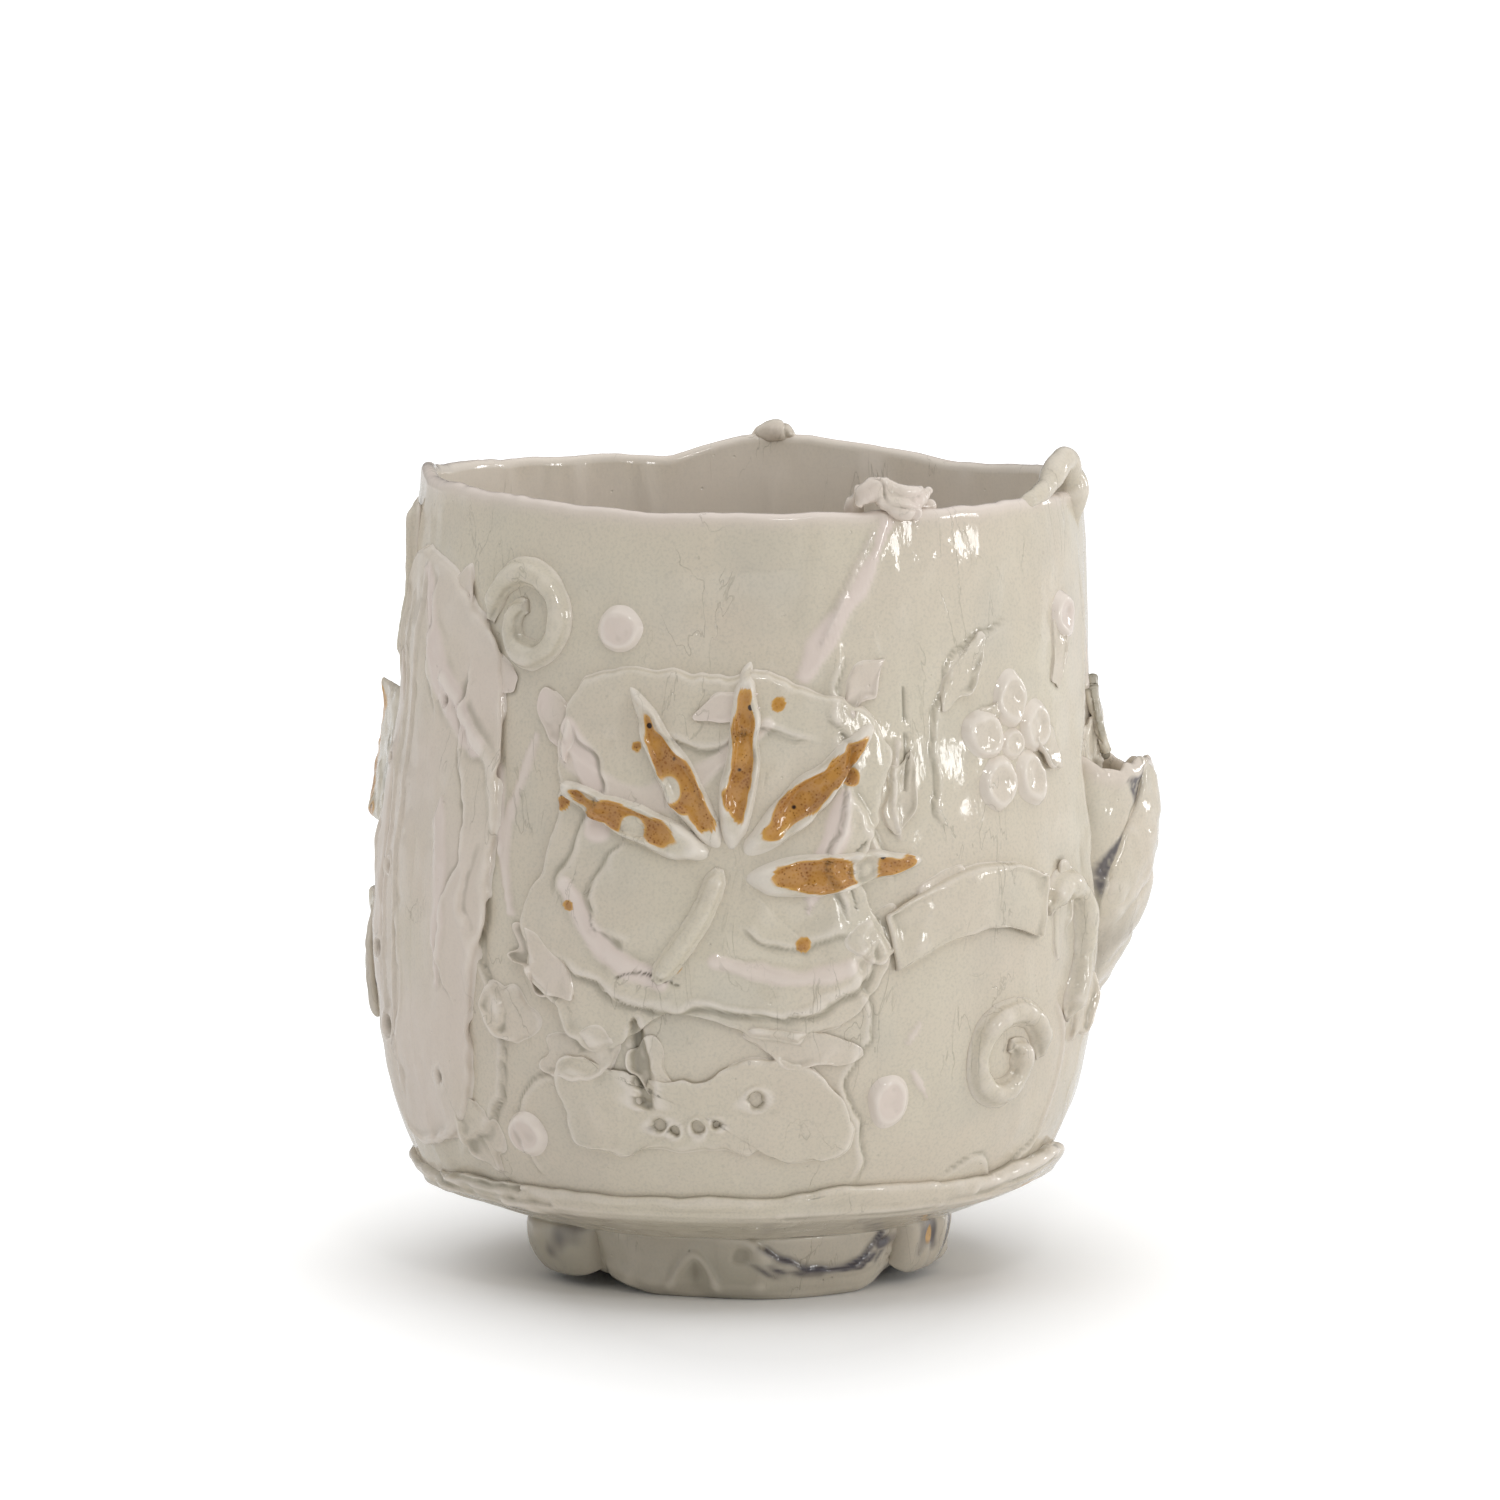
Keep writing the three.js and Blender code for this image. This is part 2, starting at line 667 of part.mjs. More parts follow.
// A rolled coil wound once and a fifth into a wave's crest, opening outwards. Its inner radius and
// pitch are in coil widths.
function waveCrest(at, turnWay) {
  const [inner, pitch, turns] = [0.63, 1.33, 1.2];
  const wound = Array.from({ length: 9 }, (_, i) => {
    const turn = (i / 8) * turns;
    const radius = inner + pitch * turn;
    const angle = 2 * Math.PI * turn + 0.6 * Math.PI;
    return [turnWay * radius * Math.cos(angle), radius * Math.sin(angle)];
  });
  return coilOnWall(at, COIL_WIDTH, wound, 20);
}

// The front sheet: a torn, lobed panel. The leaves and their stem lie on it.
const frontPanel = () =>
  tornSheet(PANEL_PLACE, PANEL_WIDTH, PANEL_HEIGHT, [
    [-0.8, 0.9],
    [-0.15, 1.05],
    [0.55, 0.95],
    [0.95, 0.63],
    [0.8, 0.05],
    [0.9, -0.53],
    [0.45, -0.9],
    [-0.15, -0.8],
    [-0.65, -1],
    [-1, -0.42],
    [-0.85, 0.21],
  ]);

// The sheet below the panel, whose upper edge follows the panel's lower edge
const lowerSheet = () =>
  tornSheet([-6, 0.15], LOWER_SHEET_WIDTH, LOWER_SHEET_HEIGHT, [
    [-1, 1],
    [-0.27, 0.6],
    [0.53, 1],
    [0.93, 0.4],
    [1, -0.8],
    [0.27, -1],
    [-0.53, -0.8],
    [-1, -0.6],
  ]);

// The calm sheets on the rear of the cup
const rearSheet = () =>
  tornSheet([152, 0.55], REAR_SHEET_WIDTH, REAR_SHEET_HEIGHT, [
    [-0.86, 0.73],
    [0, 0.97],
    [0.8, 0.73],
    [0.97, -0.24],
    [0.34, -1.03],
    [-0.63, -0.85],
    [-1.03, -0.12],
  ]);

const lowRearSheet = () =>
  tornSheet([-140, 0.32], LOW_REAR_SHEET_WIDTH, LOW_REAR_SHEET_HEIGHT, [
    [-0.93, 0.72],
    [-0.13, 0.96],
    [0.8, 0.64],
    [1, -0.32],
    [0.2, -1.04],
    [-0.87, -0.72],
  ]);

// The leaves of the spray fan out from the twig's upper end: each one's place on the panel, in
// shares of a leaf's length across and up, and its direction in degrees
const leaves = [
  [-0.06, 0.12, 158],
  [0.03, 0.2, 122],
  [0.15, 0.2, 84],
  [0.27, 0.13, 44],
  [0.29, -0.04, 4],
];

// Five petals pressed round a centre
function blossom() {
  const petals = Array.from({ length: 5 }, (_, i) => {
    const turn = (90 + 72 * i) * DEGREE;
    const offset = PETAL_RADIUS * 1.85;
    const middle = [offset * Math.cos(turn), offset * Math.sin(turn)];
    return pelletOnWall(BLOSSOM_PLACE, middle, PETAL_RADIUS, PETAL_RISE);
  });
  return [pelletOnWall(BLOSSOM_PLACE, [0, 0], PETAL_RADIUS * 0.55, PETAL_RISE), ...petals];
}

const pieces = {
  wall_slab: wallSlab(),
  base_slab: baseSlab(),
  foot_ring: footRing(),
  foot_lap_right: footLap(RIGHT_LAP, 15),
  foot_lap_left: footLap(LEFT_LAP, 17),
  hip_coil: hipCoil(),
  rim_knot: rimKnot(),
  rim_curl: rimCurl(),
  rim_bead: rimBead(),
  side_pocket: sidePocket(),
  pocket_flap: pocketFlap(),
  left_flake_upper: peeledFlake({ at: [-88, 0.61], direction: 175, size: 1, rise: 1 }),
  left_flake_lower: peeledFlake({ at: [-97, 0.32], direction: 186, size: 1.15, rise: 0.35 }),
  right_flake: peeledFlake({ at: [87, 0.68], direction: -88, size: 0.8, rise: 0.85 }),
  drape_left: leftDrape(),
  seam_strip: seamStrip(),
  front_panel: frontPanel(),
  lower_sheet: lowerSheet(),
  rear_sheet: rearSheet(),
  low_rear_sheet: lowRearSheet(),
  strap_right: rightStrap(),
  wave_left: waveCrest([-39, 0.84], 1),
  wave_right: waveCrest([47, 0.2], -1),
  coil_right: bentCoil(),
  twig: coilOnWall(PANEL_PLACE, LEAF_LENGTH, [[0.06, 0], [-0.06, -0.3], [-0.3, -0.65]], 10, ON_PANEL),
};
leaves.forEach(([x, y, direction], i) => {
  pieces[`leaf_${i + 1}`] = leafOnPanel(PANEL_PLACE, [x, y], direction);
});
blossom().forEach((petal, i) => {
  pieces[i ? `petal_${i}` : "blossom_centre"] = petal;
});
[[-21, 0.84], [24, 0.16], [-38, 0.1], [66, 0.83]].forEach((place, i) => {
  pieces[`pellet_${i + 1}`] = pelletOnWall(place, [0, 0], PELLET_RADIUS, PELLET_RISE);
});

const glazes = {
  foot_ring: FOOT_CLAY,
  foot_lap_right: FOOT_CLAY,
  foot_lap_left: FOOT_CLAY,
  twig: AMBER,
  ...Object.fromEntries(leaves.map((_, i) => [`leaf_${i + 1}`, AMBER])),
};

const yunomi = new THREE.Group();
yunomi.name = "yunomi";
for (const [name, geometry] of Object.entries(pieces)) {
  geometry.computeVertexNormals();
  const mesh = new THREE.Mesh(geometry, new THREE.MeshStandardMaterial(glazes[name] ?? CLAY));
  mesh.name = name;
  yunomi.add(mesh);
}

// The origin is on the table, under the middle of the cup's overall box
const middle = new THREE.Box3().setFromObject(yunomi, true).getCenter(new THREE.Vector3());
yunomi.children.forEach((mesh) => mesh.geometry.translate(-middle.x, -middle.y, 0));

export default yunomi;
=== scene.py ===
# %% [markdown]
# # A hand-built porcelain yunomi
# A yunomi is a tall Japanese tea cup without a handle. This one is built by hand from torn sheets,
# rolled coils and pinched lumps of porcelain, and then dipped in a clear, glossy glaze. The CAD
# model gives each piece of clay its place. Here each piece gets its real surface: torn edges,
# finger marks, folds and cracks. We load the CAD model first and keep its box, to set it beside the finished cup's
# box at the end.

# %% Load the CAD cup
import math

import bpy
import numpy as np
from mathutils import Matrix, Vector, kdtree


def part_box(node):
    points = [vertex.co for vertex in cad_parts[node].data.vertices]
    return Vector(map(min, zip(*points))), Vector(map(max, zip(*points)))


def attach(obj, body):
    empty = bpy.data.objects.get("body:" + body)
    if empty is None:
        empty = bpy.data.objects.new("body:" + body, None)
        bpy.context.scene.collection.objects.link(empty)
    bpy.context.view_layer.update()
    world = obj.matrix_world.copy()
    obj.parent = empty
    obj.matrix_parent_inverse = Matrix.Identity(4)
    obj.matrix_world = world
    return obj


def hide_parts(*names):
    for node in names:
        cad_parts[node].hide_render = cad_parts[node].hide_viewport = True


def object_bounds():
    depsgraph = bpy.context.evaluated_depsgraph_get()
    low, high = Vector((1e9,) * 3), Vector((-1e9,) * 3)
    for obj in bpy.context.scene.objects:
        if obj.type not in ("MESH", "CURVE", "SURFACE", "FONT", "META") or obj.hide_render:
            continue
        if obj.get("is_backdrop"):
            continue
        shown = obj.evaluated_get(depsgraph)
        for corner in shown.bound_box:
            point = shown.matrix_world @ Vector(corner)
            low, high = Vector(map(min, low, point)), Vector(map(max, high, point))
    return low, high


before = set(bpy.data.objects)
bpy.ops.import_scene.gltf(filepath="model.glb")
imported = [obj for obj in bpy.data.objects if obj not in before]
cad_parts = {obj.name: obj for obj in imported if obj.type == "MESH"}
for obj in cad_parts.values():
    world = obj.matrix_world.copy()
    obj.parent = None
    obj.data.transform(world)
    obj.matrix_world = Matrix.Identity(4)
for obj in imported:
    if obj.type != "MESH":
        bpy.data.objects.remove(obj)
cad_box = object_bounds()
print("CAD pieces:", len(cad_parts))

# %% [markdown]
# ## The potter's measurements
# Clay is easiest to think about in millimetres, so we model in millimetres and turn the numbers
# into Blender's metres only when a mesh is made. The wall is described by a rule: an outline of
# five knots, swollen a little to the sides, with three soft lobes and a lean to the right. With the
# rule as a function we can ask for the wall's radius anywhere, and lay other pieces on it.

# %% The rule of the wall
MM = 0.001
RIM_HEIGHT, HIP_HEIGHT = 83, 11.5
RIM_RADIUS, BELLY_RADIUS, HIP_RADIUS = 34.8, 37.9, 33
KNOT_HEIGHTS = np.array([HIP_HEIGHT, 20, 38, 64, RIM_HEIGHT])
KNOT_RADII = np.array([HIP_RADIUS, 36.2, BELLY_RADIUS, 35.8, RIM_RADIUS])
WALL_AT_HIP, WALL_AT_RIM = 3.6, 2
SIDE_SWELL, LOBE_SWELL, LEAN, UPRIGHT_SHARE = 0.3, 0.3, 2, 0.35
MM_PER_DEGREE = math.radians(BELLY_RADIUS)


def sine(degrees):
    return np.sin(np.radians(degrees))


def cosine(degrees):
    return np.cos(np.radians(degrees))


def outline(height):
    """The wall's mean radius: a smooth curve through the knots."""
    slopes = np.diff(KNOT_RADII) / np.diff(KNOT_HEIGHTS)
    tangents = np.r_[slopes[0], (slopes[1:] + slopes[:-1]) / 2, slopes[-1]]
    i = np.clip(np.searchsorted(KNOT_HEIGHTS, height) - 1, 0, len(slopes) - 1)
    span = np.diff(KNOT_HEIGHTS)[i]
    t = np.clip((height - KNOT_HEIGHTS[i]) / span, 0, 1)
    ends = (2 * t**3 - 3 * t**2 + 1) * KNOT_RADII[i] + (3 * t**2 - 2 * t**3) * KNOT_RADII[i + 1]
    return ends + span * ((t**3 - 2 * t**2 + t) * tangents[i] + (t**3 - t**2) * tangents[i + 1])


def swell(bearing, height):
    """How far the plan stands outside a circle. A bearing is in degrees from the front, to the right."""
    lobes = LOBE_SWELL * cosine(3 * (bearing - 20)) - SIDE_SWELL * cosine(2 * bearing)
    share = (height - HIP_HEIGHT) / (RIM_HEIGHT - HIP_HEIGHT)
    return lobes + LEAN * (share - UPRIGHT_SHARE) * sine(bearing)


print("Radius of the wall at half its height, in mm:", round(float(outline(RIM_HEIGHT / 2)), 1))

# %% [markdown]
# The lip of such a cup is never level. Smooth bumps, each at a bearing of its own, lift it at the
# left corner and at the rear and let it dip between them. The axis of the cup is read off the CAD
# base, so that everything we lay round it falls where the CAD model has it.

# %% The lip and the axis


def bump(bearing, centre, half_width):
    """1 at a bearing and 0 away from it, also across the rear."""
    return np.exp(-((((bearing - centre + 180) % 360 - 180) / half_width) ** 2))


RIM_SWELLS = [
    # rise, bearing, half width
    (2.2, 176, 24), (-1.5, -166, 9), (1.4, -88, 9), (2.1, -65, 36),
    (1.0, -112, 20), (1.4, 112, 20), (0.5, 62, 14), (0.6, 152, 12),
]


def rim_height(bearing):
    swells = sum(rise * bump(bearing, middle, wide) for rise, middle, wide in RIM_SWELLS)
    return RIM_HEIGHT + 0.5 * sine(2 * bearing + 40) + swells


def up_wall(share):
    return HIP_HEIGHT + (RIM_HEIGHT - HIP_HEIGHT) * share


base_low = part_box("base_slab")[0]
AXIS = np.array([
    base_low.x / MM + HIP_RADIUS + swell(-90, HIP_HEIGHT),
    base_low.y / MM + HIP_RADIUS + swell(0, HIP_HEIGHT),
    0,
])


def polar(bearing, radius, height):
    """Points round the cup's axis, in millimetres."""
    bearing, radius, height = np.broadcast_arrays(bearing, radius, height)
    return AXIS + np.stack([radius * sine(bearing), -radius * cosine(bearing), height], -1)


print("The cup's axis, in mm:", AXIS.round(2))

# %% [markdown]
# ## What hands do to clay
# Nothing on a hand-built cup is even. A smooth random height, called value noise, gives lumps of
# any size we ask for: large ones for the way a sheet sags, small ones for torn edges. Blender has a
# noise node, but a few lines of numpy give the same result for every piece and every run, and
# each piece laid on the wall can follow the very same lumps.

# %% Lumps of clay


def rumple(points, size, seed):
    """Smooth random lumps of about `size` millimetres, from -1 to 1, at points in space."""
    table = np.random.default_rng(seed).uniform(-1, 1, 4096)
    scaled = np.asarray(points, float) / size + 1000
    cell = np.floor(scaled).astype(np.int64)
    t = scaled - cell
    t = t * t * (3 - 2 * t)
    total = 0
    for corner in np.ndindex(2, 2, 2):
        x, y, z = np.moveaxis(cell + corner, -1, 0)
        weight = np.prod(np.where(np.array(corner, bool), t, 1 - t), axis=-1)
        total = total + weight * table[(x * 73856093 ^ y * 19349663 ^ z * 83492791) % 4096]
    return total


def lumps(x, y, size, seed):
    """The same lumps on a flat sheet."""
    x, y = np.broadcast_arrays(x, y)
    return rumple(np.stack([x, y, np.full(x.shape, 0.5)], -1), size, seed)


def ease(value, low, high):
    """0 below `low`, 1 above `high`, and a smooth step between."""
    t = np.clip((value - low) / (high - low), 0, 1)
    return t * t * (3 - 2 * t)


def ridge(distance, width):
    """1 on a line and 0 away from it."""
    return np.exp(-((distance / width) ** 2))


print("Lumps at one place:", rumple([10, 20, 30], 5, 1).round(3))

# %% [markdown]
# ## The wall's own marks
# Where one slab of the wall laps over another there is a low ledge that fades away behind its edge.
# Strokes of slip, which is clay thinned to a cream, were smeared over it, and a few tears were left
# open. All three are drawn as lines on the unrolled wall. The distance to a line, and the side of
# it that a point is on, are all that a ledge, its lip and its groove need.

# %% Lines on the unrolled wall


def evenly(line, count, closed=False):
    """A line in evenly spaced points."""
    line = np.asarray(line, float)
    if closed:
        line = np.vstack([line, line[:1]])
    length = np.r_[0, np.cumsum(np.linalg.norm(np.diff(line, axis=0), axis=1))]
    places = np.linspace(0, length[-1], count, endpoint=not closed)
    return np.stack([np.interp(places, length, column) for column in line.T], -1)


def smooth_line(corners, count, closed=False):
    """A rounded line through the corners, in evenly spaced points."""
    corners = np.asarray(corners, float)
    n = len(corners)
    t = np.linspace(0, n if closed else n - 1, 24 * n, endpoint=not closed)
    i = np.minimum(t.astype(int), n - 1)
    f = (t - i)[:, None]
    if closed:
        a, b, c, d = (corners[(i + k) % n] for k in (-1, 0, 1, 2))
    else:
        a, b, c, d = (corners[np.clip(i + k, 0, n - 1)] for k in (-1, 0, 1, 2))
    line = b + f * (c - a) / 2 + f**2 * (a - 2.5 * b + 2 * c - d / 2)
    line = line + f**3 * (1.5 * b - a / 2 - 1.5 * c + d / 2)
    return evenly(line, count, closed)


def beside(x, y, line):
    """For each point its signed distance to a line, more to its left, and the share along the line."""
    nearest = np.full(np.shape(x), 1e9)
    side, along = np.zeros(np.shape(x)), np.zeros(np.shape(x))
    for i, (start, end) in enumerate(zip(line[:-1], line[1:])):
        way = end - start
        t = np.clip(((x - start[0]) * way[0] + (y - start[1]) * way[1]) / way.dot(way), 0, 1)
        dx, dy = x - start[0] - t * way[0], y - start[1] - t * way[1]
        distance = np.hypot(dx, dy)
        closer = distance < nearest
        nearest = np.where(closer, distance, nearest)
        side = np.where(closer, np.sign(way[0] * dy - way[1] * dx), side)
        along = np.where(closer, (i + t) / (len(line) - 1), along)
    return nearest * side, along


up_line = np.array([(0, 0), (0, 10)])
print("3 mm to the right of a line that goes up:", beside(np.array([3.0]), np.array([5.0]), up_line)[0])

# %% [markdown]
# A stroke of slip is widest in the middle and ragged at its sides. A ledge is a step, with a small
# lip on its edge and a groove in front of it. Both follow from the distance to their line, with
# some lumps added to it, so that no edge is straight.

# %% Strokes and ledges


def stroke(x, y, corners, half_width, seed):
    """How deep inside a ragged stroke each point is: 0 outside and up to 1 on its middle line."""
    off, along = beside(x, y, smooth_line(corners, 18))
    ragged = 0.5 * lumps(x, y, 2.6 * half_width, seed) + 0.25 * lumps(x, y, 0.9 * half_width, seed + 1)
    width = half_width * (0.5 + 0.5 * np.sin(np.pi * np.clip(along, 0.03, 0.97)) ** 0.6 + ragged)
    return np.clip(1 - np.abs(off) / np.maximum(width, 0.1 * half_width), 0, 1)


def ledge(x, y, line, seed, step=0.5, fade=9, sharp=1.0):
    """The rise of a sheet's edge along a line, with a lip and a groove, and the painted shade in that groove. It
    fades away to the line's left.
    """
    off, along = beside(x, y, line)
    off = off + 1.0 * lumps(x, y, 4, seed) + 0.5 * lumps(x, y, 1.4, seed + 20)
    ends = ease(along, 0, 0.15) * ease(1 - along, 0, 0.15)
    flat = ease(off, -0.2 / sharp, 0.2 / sharp) * np.exp(-np.maximum(off, 0) / fade)
    lip = 0.3 * ridge(off - 0.5, 0.4) - 0.3 * ridge(off + 0.25, 0.25)
    # the second value is painted shade: a dark line in the groove in front of the ledge
    return step * ends * (flat + sharp * lip), 0.8 * sharp * ends * ridge((off + 0.12) * sharp, 0.2)


print("How deep the middle of a stroke is inside it:", stroke(5.0, 0.0, [(0, 0), (10, 0)], 1.0, 0).round(2))

# %% [markdown]
# The marks themselves are a short table: how much each rises, how wide it is and where it runs.
# Tables like this are easy to change while looking at a render. One function turns such a table
# into a height, and it serves the wall as well as the sheets that are pressed on it.

# %% A table of marks as a height


def marks_on(x, y, ledges, strokes, seeds, points=22, sharp=1.0, near=False):
    """The rise, the painted shade in grooves and tears, and the pink of ledges and strokes on a flat sheet.
    `sharp` under 1 softens the ledges. With `near` a mark is only worked out close to its line."""
    x, y, sharp = np.broadcast_arrays(x, y, sharp)
    rise, groove, blush = np.zeros(x.shape), np.zeros(x.shape), np.zeros(x.shape)

    def around(line, reach):
        low, high = line.min(0) - reach, line.max(0) + reach
        return ((x > low[0]) & (x < high[0]) & (y > low[1]) & (y < high[1])) | (not near)

    for number, (step, fade, corners) in enumerate(ledges):
        line = smooth_line(corners, points)
        here = around(line, 25)
        up, dark = ledge(x[here], y[here], line, seeds[0] + number, step, fade, sharp[here])
        rise[here] += up
        groove[here] = np.maximum(groove[here], dark)
    for number, (step, half_width, pink, corners) in enumerate(strokes):
        here = around(np.array(corners), 3 * half_width)
        inside = stroke(x[here], y[here], corners, half_width, seeds[1] + number)
        rise[here] += step * ease(inside, 0, 0.55)
        blush[here] = np.maximum(blush[here], pink * ease(inside, 0, 0.4))
        # a tear, which falls instead of rising, is painted dark as its shade
        groove[here] = np.maximum(groove[here], (step < 0) * ease(inside, 0.1, 0.5))
    return rise, groove, blush


one_stroke = [(0.3, 1.0, 1, [(0, 0), (10, 0)])]
middle_rise = marks_on(np.array([5.0]), np.array([0.0]), [], one_stroke, (0, 0))[0]
print("A stroke 0.3 mm high, at its middle:", middle_rise.round(2))

# %% [markdown]
# The wall has three tables. Bearings are easier to read off a cup than millimetres, so the lines
# are given as (bearing, height) and unrolled before they are drawn. With these marks the rule of
# the wall is complete: `wall_face` gives the radius of the finished surface to all that is laid on it.

# %% Ledges, strokes, tears and dents of the wall
LEDGES = [
    # height, how far it fades, and its line as (bearing, height) from end to end
    (0.5, 9, [(-58, 13), (-45, 20), (-41, 31), (-47, 42), (-44, 52)]),
    (0.5, 12, [(19, 12), (20, 20), (17, 25), (20, 31), (17.5, 38), (23, 43)]),
    (0.45, 8, [(24, 44), (22, 49), (17, 57), (15, 64), (17, 71)]),
    (0.35, 8, [(-23, 27), (-34, 24), (-39, 19), (-36, 13)]),
    (0.4, 7, [(78, 14), (72, 24), (76, 36), (71, 50), (78, 66), (76, 80)]),
    (0.3, 10, [(52, 71), (40, 69), (33, 62), (31, 53), (36, 50)]),
    (0.3, 6, [(64, 18), (52, 13), (44, 16), (36, 13)]),
    (0.4, 9, [(120, 20), (112, 34), (121, 50), (112, 62)]),
    (0.5, 9, [(-118, 74), (-104, 66), (-110, 50), (-100, 34), (-112, 16)]),
    (0.4, 10, [(-170, 72), (-160, 60), (-166, 44), (-158, 26)]),
]
STROKES = [
    # rise, half width, how pink it fired, and its line; a tear has a fall instead of a rise
    (0.22, 1.7, 1, [(25, 82), (20, 76), (14, 71), (10, 67)]),
    (0.3, 0.35, 0.4, [(23, 82), (18.5, 77), (13, 70)]),
    (0.35, 0.9, 1, [(-58, 65), (-50, 60), (-44, 56), (-42, 48)]),
    (0.25, 0.8, 0.8, [(-36, 60), (-41, 50), (-39, 42)]),
    (0.3, 0.5, 0.3, [(26, 60), (24.5, 54), (25.5, 50)]),
    (0.25, 0.6, 0.3, [(60, 31), (64, 26), (62, 18)]),
    (0.35, 0.6, 0.6, [(79, 70), (81, 62), (80, 55)]),
    (0.25, 0.45, 0.8, [(28, 26), (31, 23)]),
    (0.22, 0.4, 0.6, [(29, 31), (27, 29)]),
    (-0.3, 0.25, 0, [(27, 66), (27.5, 60), (26.5, 55)]),
    (-0.9, 1.1, 0, [(-17, 31.5), (-16, 28), (-15.4, 23)]),
]
DENTS = [
    # bearing, height, size, depth
    (-12, 74, 9, 0.3), (8, 20, 7, 0.35), (40, 33, 7, 0.3), (34, 61, 8, 0.3), (52, 75, 7, 0.25),
]


def unrolled(rows):
    """The rows of a table with their lines in millimetres on the unrolled wall."""
    return [(*row[:-1], [(b * MM_PER_DEGREE, h) for b, h in row[-1]]) for row in rows]


def wall_marks(bearing, height, sharp=1.0):
    x = ((bearing + 180) % 360 - 180) * MM_PER_DEGREE
    x, y = np.broadcast_arrays(x, height)
    rise, groove, blush = marks_on(x, y, unrolled(LEDGES), unrolled(STROKES), (0, 40), 26, sharp, near=True)
    for b, h, size, depth in DENTS:
        away = ((x - b * MM_PER_DEGREE) ** 2 + (y - h) ** 2) / size**2
        rise = rise - depth * np.exp(-2 * away)
    return rise, groove, blush


def wall_face(bearing, height, sharp=0.4):
    """The radius of the finished wall, with its lumps, drips, ledges and dents."""
    radius = outline(height) + swell(bearing, height)
    point = polar(bearing, radius, height)
    lumpy = 0.28 * rumple(point, 24, 1) + 0.16 * rumple(point, 11, 2)
    drips = 0.12 * rumple(point * (1, 1, 0.4), 3.4, 3) + 0.07 * rumple(point * (1, 1, 0.6), 1.8, 4)
    return radius + lumpy + drips + wall_marks(bearing, height, sharp)[0]


print("Marks on the wall:", len(LEDGES), "ledges,", len(STROKES), "strokes and", len(DENTS), "dents")

# %% [markdown]
# ## Turning clay into a mesh
# A piece of clay becomes an object with a mesh. What the glaze has to know about it, such as where
# it is stained, is stored on the points of the mesh under a name. We keep all pieces in one
# dictionary, each with its glaze and the CAD nodes that it stands for.

# %% Pieces of clay
clay = {}


def put(name, data):
    """A new object at the origin of the scene."""
    made = bpy.data.objects.new(name, data)
    bpy.context.scene.collection.objects.link(made)
    return made


def paint(mesh, mask, values):
    """Stores one value for each point of the mesh, which the glazes read by its name."""
    layer = mesh.attributes.new(mask, "FLOAT", "POINT")
    layer.data.foreach_set("value", np.asarray(values, np.float32).ravel())


def values_of(items, key, width=3, kind=float):
    """One property of many points or edges, as an array with a row for each."""
    values = np.empty(len(items) * width, kind)
    items.foreach_get(key, values)
    return values.reshape(-1, width)


def read_mesh(mesh):
    return values_of(mesh.vertices, "co"), [list(face.vertices) for face in mesh.polygons]


def clay_body(name, points, faces, glaze, replaced, **masks):
    """Makes a piece of clay from points in millimetres, and remembers what it stands for."""
    mesh = bpy.data.meshes.new(name)
    mesh.from_pydata((np.asarray(points) * MM).tolist(), [], faces)
    mesh.shade_smooth()
    for mask, values in masks.items():
        paint(mesh, mask, values)
    clay[name] = (put(name, mesh), glaze, replaced)
    print(f"{name}: {len(points)} points")


print("Pieces of clay so far:", len(clay))

# %% [markdown]
# Every piece of clay is a closed body, so its mesh has to be closed too, with its faces outwards.
# Most pieces can be described as a stack of rings: the rings of a bowl, or the outlines of a
# sheet from its middle to its edge and back underneath. One helper stitches such a stack together,
# closes both ends, and checks by the signed volume that the body isn't inside out.

# %% A closed body from rings


def stitched(rings, loop=False):
    """Points and faces of a stack of closed rings. `loop` joins the last ring to the first."""
    rows, count = rings.shape[:2]
    points = rings.reshape(-1, 3)
    row, column = np.meshgrid(np.arange(rows - (not loop)), np.arange(count), indexing="ij")
    following, above = (column + 1) % count, (row + 1) % rows
    low, high = row * count, above * count
    quads = np.stack([low + column, low + following, high + following, high + column], -1).reshape(-1, 4)
    a, b, c, d = (points[quads[:, k]] for k in range(4))
    inside_out = np.einsum("ij,ij->", a, np.cross(b, c)) + np.einsum("ij,ij->", a, np.cross(c, d)) < 0
    faces = quads.tolist()
    if not loop:
        points = np.vstack([points, rings[0].mean(0), rings[-1].mean(0)])
        last = (rows - 1) * count
        faces += [[(i + 1) % count, i, rows * count] for i in range(count)]
        faces += [[last + i, last + (i + 1) % count, rows * count + 1] for i in range(count)]
    if inside_out:
        faces = [face[::-1] for face in faces]
    return points, faces


def with_poles(mask):
    """A mask on the rings, with a value for each of the two closing points."""
    return np.r_[mask.ravel(), mask[0].mean(), mask[-1].mean()]


tin = stitched(polar(np.linspace(0, 360, 8, endpoint=False), 10, np.array([[0], [5]])))
print("A tin with eight sides has", len(tin[0]), "points and", len(tin[1]), "faces")

# %% [markdown]
# ## The wall
# The wall is a rolled slab wrapped into a barrel, with an uneven lip. It is the piece that shows
# most, so it gets most of the points: a ring of cross-sections round the axis, three times as
# close together on the front as at the rear. The `blush` mask marks where slip has been smeared
# over the clay and fires to a pinkish white.

